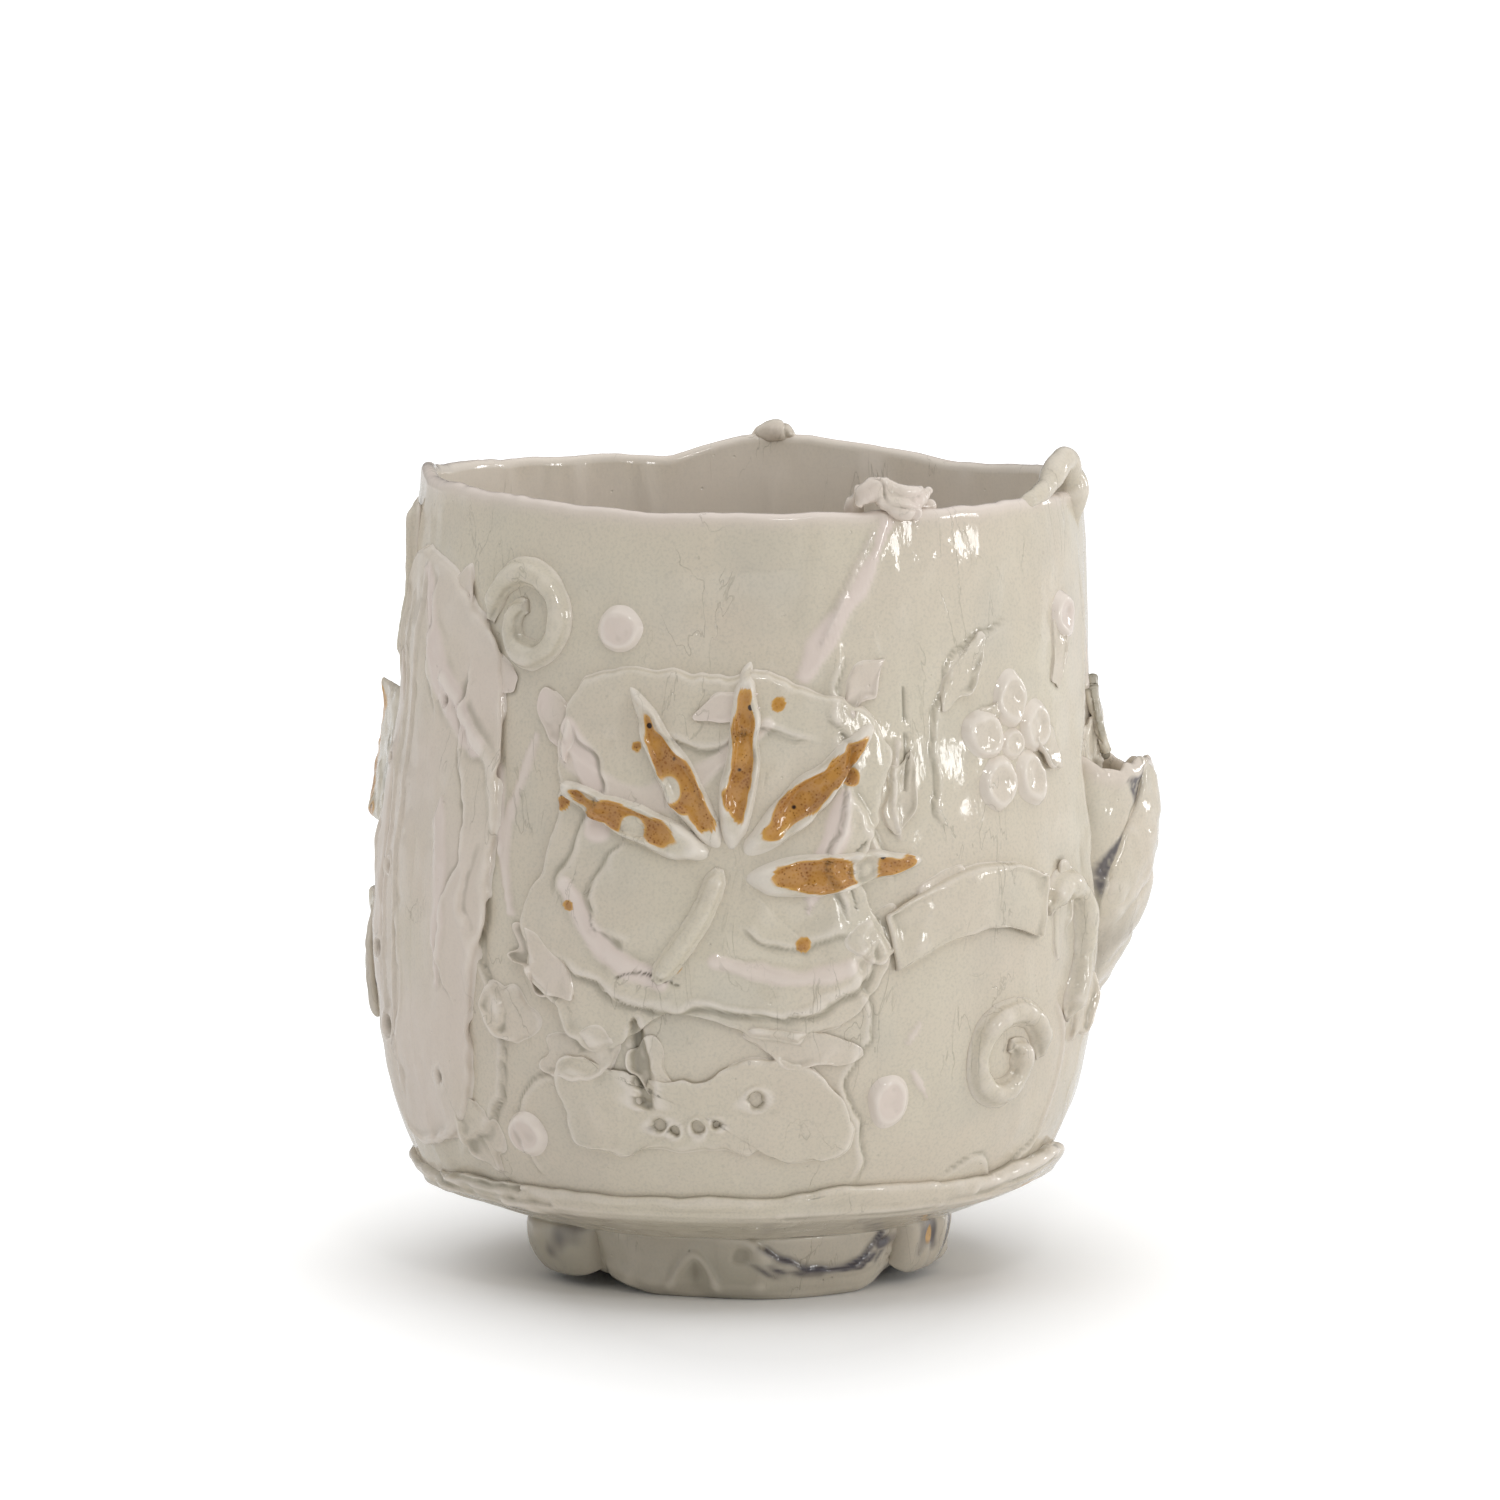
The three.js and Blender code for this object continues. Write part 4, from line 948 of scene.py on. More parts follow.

# %% [markdown]
# On the left a long sheet is draped down the wall. A few long ridges run down it, as in a curtain,
# with fine wrinkles between them and small holes where it tore. The strap on the right is a
# square-ended sheet laid round the wall.

# %% The drape and the strap
DRAPE_PLACE = (-62, 0.49)
DRAPE_LEDGES = [
    # rise, how far it fades, and the line
    (0.4, 5, [(8, 22), (6, 12), (8.4, 2), (6.4, -8), (7.4, -16)]),
    (0.35, 4, [(-5, -6), (-3, -14), (-5.6, -24)]), (0.3, 4, [(0, 29), (-2, 21), (1, 14)]),
]
DRAPE_STROKES = [
    # rise, half width, how pink it fired, line
    (0.3, 0.55, 0.4, [(-4, 29), (-4.8, 10), (-4.4, -8), (-5, -26)]),
    (0.2, 0.45, 0.3, [(-7, 26), (-7.6, 6), (-7, -18)]), (0.22, 2.2, 1, [(-3, 29), (1, 20), (5, 15), (9, 12)]),
    (0.2, 1.4, 0.9, [(4, 6), (6, -4), (5, -13)]), (0.3, 1.8, 0.6, [(-9, 20), (-9.4, 0), (-8, -20)]),
]
DRAPE_HOLES = [(-6.4, -2, 0.5), (-8.2, -11, 0.7), (-6.8, -19, 0.8), (3, 16, 0.4), (-9, 9, 0.4), (4.4, -23, 0.5)]
DRAPE = [
    (-8, 30.5), (-1, 30), (6, 26.5), (11, 22), (12.4, 13), (12.6, 4), (12, -4), (10.5, -12), (9.6, -19),
    (8, -26), (4, -30), (-3, -31), (-8.5, -27), (-11.4, -14), (-12, 0), (-11, 14), (-9.5, 24),
]
STRAP = [
    (-8.6, -5.6), (-4, -3.4), (0, -2.3), (4.5, -2.2), (9.6, -3.8), (10.3, -3), (10.9, 2.1),
    (10, 2.8), (5, 4.6), (0, 4.3), (-4.5, 3), (-9.5, 0.4), (-10, -0.6), (-9.3, -5.2),
]


def drape_holes(x, y):
    return in_spots(x, y, DRAPE_HOLES, 0.35 * lumps(x, y, 0.9, 104), -0.05, 0.35, tall=1.3)


def drape_marks(x, y):
    return marks_on(x, y, DRAPE_LEDGES, DRAPE_STROKES, (330, 330))


def drape_surface(x, y):
    slant = x + 0.2 * y
    wrinkles = 0.05 * lumps(slant, y * 0.15, 2.4, 102) + 0.012 * lumps(slant, y * 0.2, 0.8, 103)
    wrinkles = wrinkles + 0.14 * lumps(x, y, 5, 105)
    lips = 0.2 * lips_round(x, y, DRAPE_HOLES, 0.4, 0.35)
    return wrinkles + drape_marks(x, y)[0] + lips - 0.9 * drape_holes(x, y)


def drape_blush(x, y):
    return np.maximum(drape_marks(x, y)[2], 0.35 + 0.3 * lumps(x, y, 9, 106))


# painted shade in the drape's holes and in the grooves of its ledges
def drape_groove(x, y):
    return np.maximum(drape_holes(x, y), drape_marks(x, y)[1])


def strap_surface(x, y):
    return 0.25 * lumps(x, y, 3.2, 111) + 0.12 * lumps(x, y, 1.5, 112)


torn_sheet(
    "drape", DRAPE_PLACE, DRAPE, 0.85, 100, ["drape_left"], tear=0.5, curl=0.4, melt=0.35,
    surface=drape_surface, masks={"blush": drape_blush, "groove": drape_groove}, step=0.28,
)
torn_sheet("strap", (38, 0.43), STRAP, 0.95, 110, ["strap_right"], tear=0.25, curl=0.3, surface=strap_surface)

# %% [markdown]
# ## Scraps
# Round the large sheets cling small scraps: torn lips that curl up, and smears of thick slip. Each
# has the edge of a torn sheet, so the same helper makes them. Their outlines are random, but
# with a fixed seed, so that they come out the same each time.

# %% Scraps of clay and slip
SCRAP_CORNERS = 11
SCRAPS = [
    # bearing, height, long, wide, turned, thickness, curl, pink; it curls up to the right of its length
    (-33, 37, 9, 4.5, -38, 0.4, 0.7, 0.5), (-39, 31, 7, 5, -60, 0.4, 0.6, 0.2), (-26, 28, 10, 5, 12, 0.4, 0.5, 0.2),
    (-31, 61, 8, 3, -55, 0.5, 0.15, 1), (-46, 46, 14, 3.2, 78, 0.35, 0.15, 0.9),
    (-45, 66, 7, 3.5, -20, 0.35, 0.1, 0.8),
    (20, 66, 8, 4, 60, 0.35, 0.2, 0.7), (26, 55, 8, 4, 74, 0.4, 0.3, 0.2), (22, 40, 7, 5, 40, 0.4, 0.3, 0.1),
    (59, 58, 7, 4, -50, 0.45, 0.5, 0.2), (38, 66, 9, 3.5, 56, 0.45, 0.5, 0.1), (43, 62, 6, 3, 20, 0.35, 0.4, 0.2),
    (70, 30, 9, 4.5, 65, 0.5, 0.7, 0.1), (60, 41, 10, 3.5, 85, 0.4, 0.4, 0.1), (-49, 18, 8, 4.5, -70, 0.5, 0.6, 0.2),
    (-14, 27, 7, 4, -60, 0.4, 0.4, 0.2), (9, 29, 12, 4, -8, 0.4, 0.3, 0.2), (-2, 64, 7, 2.6, 12, 0.4, 0.1, 1),
    (79, 56, 8, 5, 80, 0.6, 0.8, 0.1), (33, 45, 7, 3, 30, 0.4, 0.3, 0.2), (-57, 72, 9, 4, 70, 0.4, 0.2, 0.8),
    (64, 68, 9, 3, 80, 0.35, 0.3, 0.3),
]


def scrap(number, bearing, height, long, wide, turn, thickness, curl, pink):
    """A small scrap, `long` by `wide` millimetres, turned anticlockwise."""
    angle = np.linspace(0, 360, SCRAP_CORNERS, endpoint=False)
    size = 1 + np.random.default_rng(500 + number).uniform(-0.32, 0.22, SCRAP_CORNERS)
    px, py = long / 2 * size * cosine(angle), wide / 2 * size * sine(angle)
    corners = np.stack([px * cosine(turn) - py * sine(turn), px * sine(turn) + py * cosine(turn)], -1)

    def blush(x, y):
        return pink * (0.7 + 0.5 * lumps(x, y, 3, 505))

    def dented(x, y):
        return 0.16 * lumps(x, y, 2.4, 510 + number) + 0.1 * lumps(x, y, 1.1, 540 + number)

    torn_sheet(
        f"scrap_{number}", (bearing, (height - HIP_HEIGHT) / (RIM_HEIGHT - HIP_HEIGHT)), corners, thickness,
        400 + 7 * number, tear=0.13 * wide, curl=curl, surface=dented, masks={"blush": blush}, step=0.24,
        ground=panel_ground, melt=0.1, curl_way=turn - 90,
    )


for number, row in enumerate(SCRAPS, 1):
    scrap(number, *row)

# %% [markdown]
# ## Rolled coils
# Thin snakes of clay are rolled on the bench, bent and pressed on: the twig, the crook, the
# waves and the strip along the seam, and the curl over the lip. All have one rule, a round section
# that follows a line, thinner at its pinched ends. That is what Geometry Nodes are good at, so one
# node tree makes them all. A small helper places a node, links its inputs or sets their values.

# %% Helpers for node trees


def node(tree, kind, inputs=None, **settings):
    """Adds a node. Each input is given by its name or number: a socket is linked, a value is set."""
    made = tree.nodes.new(kind)
    for key, value in settings.items():
        setattr(made, key, value)
    for key, value in (inputs or {}).items():
        if isinstance(value, bpy.types.Node):
            value = value.outputs[0]
        if isinstance(value, bpy.types.NodeSocket):
            tree.links.new(value, made.inputs[key])
        else:
            made.inputs[key].default_value = value
    return made


def maths(tree, operation, *values):
    """A math node, of which only the result is wanted."""
    return node(tree, "ShaderNodeMath", dict(enumerate(values)), operation=operation).outputs[0]


def ranged(tree, value, low, high, to_low=0.0, to_high=1.0, **settings):
    """A value moved from one range to another, and held at the ends."""
    ends = {"Value": value, "From Min": low, "From Max": high, "To Min": to_low, "To Max": to_high}
    return node(tree, "ShaderNodeMapRange", ends, **settings).outputs["Result"]


def new_tree(name, inputs, kind="GeometryNodeTree", outputs=(("Clay", "Geometry"),)):
    """A node tree with named inputs, each a (name, kind, default), and named outputs."""
    tree = bpy.data.node_groups.new(name, kind)
    for label, socket, default in inputs:
        made = tree.interface.new_socket(label, in_out="INPUT", socket_type="NodeSocket" + socket)
        if default is not None:
            made.default_value = default
    for label, socket in outputs:
        tree.interface.new_socket(label, in_out="OUTPUT", socket_type="NodeSocket" + socket)
    return tree, tree.nodes.new("NodeGroupInput").outputs, tree.nodes.new("NodeGroupOutput").inputs


print("Node trees so far:", len(bpy.data.node_groups))

# %% [markdown]
# The tree turns the line into a curve with evenly spaced points. Its radius shrinks at the ends and
# swells here and there, and a round section is swept along it. The lower side is flared outwards,
# as where a coil is pressed down, and dents push the skin in and out along the way it faces.

# %% A node tree for rolled coils
coil_tree, given, result = new_tree(
    "Rolled coil",
    [("Line", "Geometry", None), ("Radius", "Float", 1.35), ("Pinch", "Float", 0.3), ("Flare", "Float", 0.5),
     ("Lumpiness", "Float", 0.12), ("Seed", "Float", 0.0), ("Glaze", "Material", None)],
)
line = node(coil_tree, "GeometryNodeMeshToCurve", {"Mesh": given["Line"]})
line = node(coil_tree, "GeometryNodeResampleCurve", {"Curve": line, "Length": 0.3}, mode="LENGTH")
share = node(coil_tree, "GeometryNodeSplineParameter").outputs["Factor"]
from_end = maths(coil_tree, "ABSOLUTE", maths(coil_tree, "SUBTRACT", share, 0.5))
full = ranged(coil_tree, from_end, 0.5, 0.42, given["Pinch"], 1.0, interpolation_type="SMOOTHSTEP")
place = node(coil_tree, "GeometryNodeInputPosition")
noise = {"Vector": place, "W": given["Seed"]}
lump = node(coil_tree, "ShaderNodeTexNoise", noise | {"Scale": 0.28, "Detail": 1.0}, noise_dimensions="4D")
radius = maths(coil_tree, "MULTIPLY", full, ranged(coil_tree, lump, 0.3, 0.7, 0.8, 1.15))
thick = node(coil_tree, "GeometryNodeInputNamedAttribute", {"Name": "thick"}, data_type="FLOAT")
radius = maths(coil_tree, "MULTIPLY", maths(coil_tree, "MULTIPLY", radius, given["Radius"]), thick)
section = node(coil_tree, "GeometryNodeCurvePrimitiveCircle", {"Resolution": 28, "Radius": 1.0})
swept = {"Curve": line, "Profile Curve": section, "Scale": radius, "Fill Caps": True}
coil = node(coil_tree, "GeometryNodeCurveToMesh", swept)
facing = node(coil_tree, "GeometryNodeInputNormal")
part = node(coil_tree, "ShaderNodeSeparateXYZ", {0: facing}).outputs
sideways = node(coil_tree, "ShaderNodeCombineXYZ", {0: part[0], 1: part[1]})
spread = ranged(coil_tree, part[2], 0.3, -0.45, 0.0, given["Flare"], interpolation_type="SMOOTHSTEP")
flared = node(coil_tree, "ShaderNodeVectorMath", {0: sideways, "Scale": spread}, operation="SCALE")
dents = node(coil_tree, "ShaderNodeTexNoise", noise | {"Scale": 0.8, "Detail": 2.0}, noise_dimensions="4D")
dents = maths(coil_tree, "MULTIPLY", maths(coil_tree, "SUBTRACT", dents, 0.5), given["Lumpiness"])
dented = node(coil_tree, "ShaderNodeVectorMath", {0: facing, "Scale": dents}, operation="SCALE")
moved = node(coil_tree, "ShaderNodeVectorMath", {0: flared, 1: dented}, operation="ADD")
coil = node(coil_tree, "GeometryNodeSetPosition", {"Geometry": coil, "Offset": moved})
coil = node(coil_tree, "GeometryNodeRealizeInstances", {"Geometry": coil})
coil = node(coil_tree, "GeometryNodeSetMaterial", {"Geometry": coil, "Material": given["Glaze"]})
coil_tree.links.new(coil.outputs[0], result["Clay"])
print(coil_tree.name, "has", len(coil_tree.nodes), "nodes")

# %% [markdown]
# A node tree works on an object, as a modifier of it. So we put the line in the scene for a moment,
# give it the modifier, take the finished mesh and remove the line again. The coil comes out lying
# on a flat plane, and the rule of the wall then bends it round the cup.

# %% Run a tree, and lay a coil on the wall
LINE_POINTS, PINCH = 60, 0.3


def run_tree(tree, points, edges, settings, attributes):
    """Runs a node tree on points and edges in millimetres, and gives the result as a plain mesh."""
    mesh = bpy.data.meshes.new("line")
    mesh.from_pydata(np.asarray(points, float).tolist(), edges, [])
    for name, values in attributes.items():
        paint(mesh, name, values)
    carrier = put("line", mesh)
    modifier = carrier.modifiers.new("clay", "NODES")
    modifier.node_group = tree
    sockets = {item.name: item.identifier for item in tree.interface.items_tree if item.in_out == "INPUT"}
    for name, value in settings.items():
        modifier[sockets[name]] = value
    return shown_mesh(carrier)


def shown_mesh(carrier):
    """The mesh of an object with its modifiers worked in. The object itself is removed."""
    mesh = bpy.data.meshes.new_from_object(carrier.evaluated_get(bpy.context.evaluated_depsgraph_get()))
    bpy.data.objects.remove(carrier)
    return mesh


def in_a_row(count):
    return [(i, i + 1) for i in range(count - 1)]


def rolled_coil(name, place, corners, scale, radius, seed, replaced, glaze="pale_glaze", ground=wall_face, flare=0.5):
    """A coil along a line of shares of `scale`, laid on the wall, pressed in by a third."""
    flat = smooth_line(np.array(corners, float) * scale, LINE_POINTS)
    line = np.column_stack([flat, np.full(LINE_POINTS, radius * 0.3)])
    settings = {
        "Radius": radius, "Flare": flare * radius, "Seed": float(seed), "Pinch": PINCH, "Lumpiness": 0.2 * radius,
    }
    thick = {"thick": np.ones(LINE_POINTS)}
    points, faces = read_mesh(run_tree(coil_tree, line, in_a_row(LINE_POINTS), settings, thick))
    x, y, height = points.T
    height = height + 0.1 * lumps(x, y, 1.6, seed) * ease(height, 0, 0.5)
    clay_body(name, lay(place, x, y, np.maximum(height, -0.35), ground), faces, glaze, replaced)


print("Each coil follows a line of", LINE_POINTS, "points")

# %% [markdown]
# With the tree made, each coil is one line. The waves are coils wound into a spiral.

# %% The coils on the wall
COIL_RADIUS, WAVE_RADIUS = 1.35, 1.2
CROOK = [(-0.25, 0.25), (-0.06, 0.38), (0.19, 0.25), (0.22, -0.13), (0.06, -0.5)]
SEAM = [(0, 0.47), (0.12, 0.1), (0.09, -0.2), (0, -0.5)]
TWIG = [(0.06, 0), (-0.06, -0.3), (-0.3, -0.65)]


def spiral(turn_way):
    turn = np.linspace(0, 1.2, 24)
    radius, angle = 0.63 + 1.33 * turn, 360 * turn + 108
    return np.stack([turn_way * radius * cosine(angle), radius * sine(angle)], -1)


rolled_coil("wave_left", (-39, 0.84), spiral(1), 2 * COIL_RADIUS, WAVE_RADIUS, 1, ["wave_left"])
rolled_coil("wave_right", (47, 0.2), spiral(-1), 2 * COIL_RADIUS, WAVE_RADIUS, 2, ["wave_right"])
rolled_coil("crook", (62, 0.36), CROOK, 16, COIL_RADIUS, 3, ["coil_right"])
rolled_coil("seam_strip", (-82, 0.87), SEAM, 17, 0.8, 4, ["seam_strip"], flare=0.9)
rolled_coil("twig", PANEL_PLACE, TWIG, 17, 1.0, 5, ["twig"], "amber_glaze", ground=panel_ground)

# %% [markdown]
# On the right a coil climbs over the lip, stands up in a loop and comes down just outside it, where it
# gets thinner and sinks into the wall. Its line isn't flat, so we give it in steps along the lip,
# outwards and up, each with the thickness that the coil has there. The same node tree then rolls it.

# %% The curl over the lip
CURL_BEARING, CURL_RADIUS, CURL_POINTS = 72, 1.5, 120
CURL_ROUTE = np.array([
    # along the lip, outwards, up, thickness
    (-11, 0, -0.9, 0.4), (-8, 0.05, -0.2, 0.6), (-4.6, 0.1, 0.9, 0.85), (-1.6, 0, 2.8, 1.05), (0.9, 0, 3.4, 1.15),
    (2.8, 0.2, 1.6, 1.05), (3.6, 0.4, -1.5, 0.65), (4.0, 0.1, -5, 0.45), (4.0, -0.1, -9, 0.38), (4.2, -0.2, -14, 0.3),
])


def on_lip(bearing, along, out, up):
    """A point on the middle of the lip, moved along it, outwards and up."""
    turned = bearing + along / math.radians(RIM_RADIUS)
    radius = RIM_RADIUS + swell(turned, RIM_HEIGHT) - WALL_AT_RIM / 2 + out
    return polar(turned, radius, rim_height(turned) + up)


line = smooth_line([on_lip(CURL_BEARING, along, out, up) for along, out, up, _ in CURL_ROUTE], CURL_POINTS)
thick = np.interp(np.linspace(0, 1, CURL_POINTS), np.linspace(0, 1, len(CURL_ROUTE)), CURL_ROUTE[:, 3])
settings = {"Radius": CURL_RADIUS, "Flare": 0.0, "Seed": 8.0, "Pinch": 0.35, "Lumpiness": 0.2}
points, faces = read_mesh(run_tree(coil_tree, line, in_a_row(CURL_POINTS), settings, {"thick": thick}))
points = points + 0.3 * np.stack([rumple(points, 4, seed) for seed in (121, 122, 123)], -1)
clay_body("rim_curl", points, faces, "pale_glaze", ["rim_curl"])

# %% [markdown]
# ## Leaves, petals and pellets
# The leaves are cut from one sheet with the same cutter, and the petals and pellets are balls
# pressed flat with a fingertip. A shape that repeats is made once and put at many points: each
# point says how far its copy is turned and how large it is. The copies are made real, and the lumps
# of the hand come after that, so that no two of them are alike.

# %% A node tree that puts out copies
spray_tree, given, result = new_tree(
    "Pressed copies",
    [("Points", "Geometry", None), ("Shape", "Object", None), ("Size", "Float", 1.0), ("Glaze", "Material", None)],
)
shape = node(spray_tree, "GeometryNodeObjectInfo", {"Object": given["Shape"]})
turned = node(spray_tree, "GeometryNodeInputNamedAttribute", {"Name": "turned"}, data_type="FLOAT")
sized = node(spray_tree, "GeometryNodeInputNamedAttribute", {"Name": "sized"}, data_type="FLOAT")
turn = node(spray_tree, "ShaderNodeCombineXYZ", {2: turned})
turn = node(spray_tree, "FunctionNodeEulerToRotation", {0: turn})
size = maths(spray_tree, "MULTIPLY", sized, given["Size"])
size = node(spray_tree, "ShaderNodeCombineXYZ", {0: size, 1: size, 2: size})
dots = node(spray_tree, "GeometryNodeMeshToPoints", {"Mesh": given["Points"]})
placed = {"Points": dots, "Instance": shape.outputs["Geometry"], "Rotation": turn, "Scale": size}
copies = node(spray_tree, "GeometryNodeInstanceOnPoints", placed)
copies = node(spray_tree, "GeometryNodeRealizeInstances", {"Geometry": copies})
copies = node(spray_tree, "GeometryNodeSetMaterial", {"Geometry": copies, "Material": given["Glaze"]})
spray_tree.links.new(copies.outputs[0], result["Clay"])
print(spray_tree.name, "has", len(spray_tree.nodes), "nodes")


def flat_shape(name, edge, profile):
    """A small closed shape with a round middle, from its flat outline and the rise of its rings."""
    points, faces = stitched(np.array([[(x * size, y * size, rise) for x, y in edge] for size, rise in profile]))
    mesh = bpy.data.meshes.new(name)
    mesh.from_pydata(points.tolist(), [], faces)
    on_top = [[size * (rise > 0)] for size, rise in profile]
    paint(mesh, "from_middle", with_poles(np.repeat(on_top, len(edge), 1)))
    return bpy.data.objects.new(name, mesh)


def pressed_copies(name, place, shape, at, turned, sized, replaced, glaze, seed, rough, masks, ground=wall_face):
    """Copies of a shape at flat points, each turned by degrees and sized, with lumps `rough` high."""
    attributes = {"turned": np.radians(turned), "sized": sized}
    plain = run_tree(spray_tree, [(px, py, 0) for px, py in at], [], {"Shape": shape}, attributes)
    points, faces = read_mesh(plain)
    inside = values_of(plain.attributes["from_middle"].data, "value", 1, np.float32)[:, 0]
    x, y, z = points.T
    dents = rough * lumps(x, y, 1.7, seed) + 0.5 * rough * lumps(x, y, 0.8, seed + 1)
    z = z + dents * ease(z, 0, 0.4)
    x, y = x + 1.5 * rough * lumps(x, y, 2.2, seed + 2), y + 1.5 * rough * lumps(x, y, 2.2, seed + 3)
    values = {key: mask(x, y, inside) for key, mask in masks.items()}
    clay_body(name, lay(place, x, y, z, ground), faces, glaze, replaced, **values)


# %% [markdown]
# The spray of five leaves sits on the panel, and its leaves are hollow in the middle, where amber
# glaze pools. The blossom and the pellets on the wall are the same dimpled disc in other sizes.
# Only a short list of places is needed for each.

# %% The leaf spray, the blossom and the pellets
LEAF_LENGTH, LEAF_WIDTH = 17, 3.5
LEAF_RIM = [(0.92, 0.93), (0.98, 0.74), (1.03, 0.45), (1.08, 0.12), (1.15, -0.3), (0.5, -0.35)]
DISC_RIM = [(0.8, 0.33), (0.88, 0.29), (0.96, 0.21), (1.02, 0.12), (1.1, 0.04), (1.24, -0.14), (0.5, -0.16)]
turn = np.linspace(0, 360, 72, endpoint=False)
narrowed = LEAF_WIDTH / 2 * sine(turn) * (1 - 0.3 * cosine(turn))
leaf_hollow = [(s, 0.55 + 0.45 * float(ease(s, 0.5, 0.84))) for s in np.linspace(0.02, 0.86, 18)]
leaf = flat_shape("leaf", np.stack([LEAF_LENGTH / 2 * cosine(turn), narrowed], -1), leaf_hollow + LEAF_RIM)
disc_dimple = [(s, 0.34 - 0.1 * math.exp(-((s / 0.5) ** 2))) for s in np.linspace(0.03, 0.7, 12)]
disc_edge = np.stack([1.08 * cosine(turn[::2]), 0.92 * sine(turn[::2])], -1)
petal = flat_shape("petal", disc_edge, disc_dimple + DISC_RIM)
# where each leaf starts, in shares of its length, and the way it points
LEAVES = [(-0.06, 0.12, 158), (0.03, 0.2, 122), (0.15, 0.2, 84), (0.27, 0.13, 44), (0.29, -0.04, 4)]
at = [(LEAF_LENGTH * (px + cosine(way) / 2), LEAF_LENGTH * (py + sine(way) / 2)) for px, py, way in LEAVES]


def leaf_amber(x, y, inside):
    """The amber pools in the hollow of a leaf and spills over its rim here and there."""
    fill = 0.84 + 0.28 * lumps(x, y, 2.4, 131) + 0.16 * lumps(x, y, 1.0, 134)
    bare = ease(lumps(x, y, 4, 135), 0.35, 0.55)
    return ease(fill - inside, 0, 0.1) * (1 - bare) * (inside > 0)


pressed_copies(
    "leaf_spray", PANEL_PLACE, leaf, at, [way for px, py, way in LEAVES], [1] * 5,
    [f"leaf_{i}" for i in range(1, 6)], "amber_glaze", 130, 0.3, {"amber": leaf_amber}, panel_ground,
)
ring = [(4.6 * cosine(90 + 72 * i), 4.6 * sine(90 + 72 * i)) for i in range(5)]
pressed_copies(
    "blossom", (49, 0.66), petal, ring + [(0, 0)], [90, 162, 234, 306, 18, 0], [2.5] * 5 + [1.5],
    ["blossom_centre"] + [f"petal_{i}" for i in range(1, 6)], "pale_glaze", 140, 0.18,
    {"blush": lambda x, y, inside: 0.3 + 0 * x},
)
pellets = [(-21, 0.84), (24, 0.16), (-38, 0.1), (66, 0.83)]
at = [(bearing * MM_PER_DEGREE, up_wall(height) - up_wall(0)) for bearing, height in pellets]
pressed_copies(
    "pellets", (0, 0), petal, at, [10, 100, 200, 300], [2.3] * 4, [f"pellet_{i}" for i in range(1, 5)],
    "pale_glaze", 150, 0.2, {"blush": lambda x, y, inside: 0.9 + 0 * x},
)

# %% [markdown]
# ## Bent sheets that stand out
# The pocket on the right, the sheet folded over it and the flakes peel away from the wall, so
# they show both faces and need a real thickness. Each is a surface with two directions, u round it
# and v up it. We take its outward direction at each point, set a face to either side, and round
# off the free edges by letting the thickness run out there.

# %% A bent sheet


def facing_of(point_at, u, v):
    """The outward direction of a surface, from two short steps over it."""
    near = 1e-3
    across = point_at(u + near, v) - point_at(u - near, v)
    up = point_at(u, v + near) - point_at(u, v - near)
    normal = np.cross(across, up)
    return normal / (np.linalg.norm(normal, axis=-1, keepdims=True) + 1e-12)


def bent_sheet(name, point_at, thickness, columns, rows, seed, torn, rough, free_sides=False, masks=None):
    """`point_at` takes grids of u and v and gives points on the middle of the sheet."""
    u = (1 - np.cos(np.linspace(0, np.pi, columns))) / 2
    v = np.sin(np.linspace(0.02, 1, rows) * np.pi / 2)
    u, v = np.meshgrid(u, v)
    ragged = v * (1 + torn * (lumps(u * 18, 0 * u, 3, seed) + 0.5 * lumps(u * 18, 0 * u, 1.1, seed)))
    middle, normal = point_at(u, ragged), facing_of(point_at, u, ragged)
    dents = rough * rumple(middle, 3.5, seed + 1) + 0.4 * rough * rumple(middle, 1.4, seed + 2)
    middle = middle + normal * dents[..., None]
    edge = (1 - v) * 20
    if free_sides:
        edge = np.minimum(edge, np.minimum(u, 1 - u) * 12)
    half = thickness / 2 * np.sqrt(1 - (1 - np.clip(edge / (0.7 * thickness), 0, 1)) ** 2 * 0.98)
    half = (half * (1 + 0.25 * rumple(middle, 5, seed + 3)))[..., None]
    rings = np.concatenate([middle + normal * half, (middle - normal * half)[:, ::-1]], 1)
    points, faces = stitched(rings)
    count, last = 2 * columns, 2 * columns * (rows - 1)
    sides = [face for face in faces if max(face) < count * rows]
    turned_round = faces[0] != [0, 1, count + 1, count]
    ends = []
    for i in range(columns - 1):
        low = [i + 1, i, count - 1 - i, count - 2 - i]
        high = [last + i, last + i + 1, last + count - 2 - i, last + count - 1 - i]
        ends += [low[::-1], high[::-1]] if turned_round else [low, high]
    points, faces = points[:-2], sides + ends
    both_faces = {key: mask(u, v) for key, mask in (masks or {}).items()}
    values = {key: np.hstack([value, value[:, ::-1]]).ravel() for key, value in both_faces.items()}
    clay_body(name, points, faces, "pale_glaze", [name], **values)


print("A flat sheet faces", facing_of(lambda u, v: np.array([u, v, 0.0]), 0.5, 0.5).round(3))

# %% [markdown]
# The pocket is a sheet that leaves the wall below, stands off it and closes on it again at both sides. A thin sheet,
# the flap, is folded over its front. Where the two meet there is a crack, drawn as a thin line of painted shade, and
# beside it a blue-grey stain has gathered in a crescent.

# %% The pocket
POCKET_PLACE, POCKET_HEIGHT, POCKET_WIDTH = (90, 0.405), 27, 21
POCKET_REACH, POCKET_THICKNESS = 5.9, 1.8
POCKET_LIP = [
    # how far round, rise
    (0, 1.6), (0.015, 1), (0.04, 0.3), (0.12, 0.2), (0.3, 0.2), (0.5, -0.5), (0.62, -1.0), (0.8, -1.9), (1, -1.6),
]


def lip_wave(u):
    return 0.9 * np.sin(9 * u)


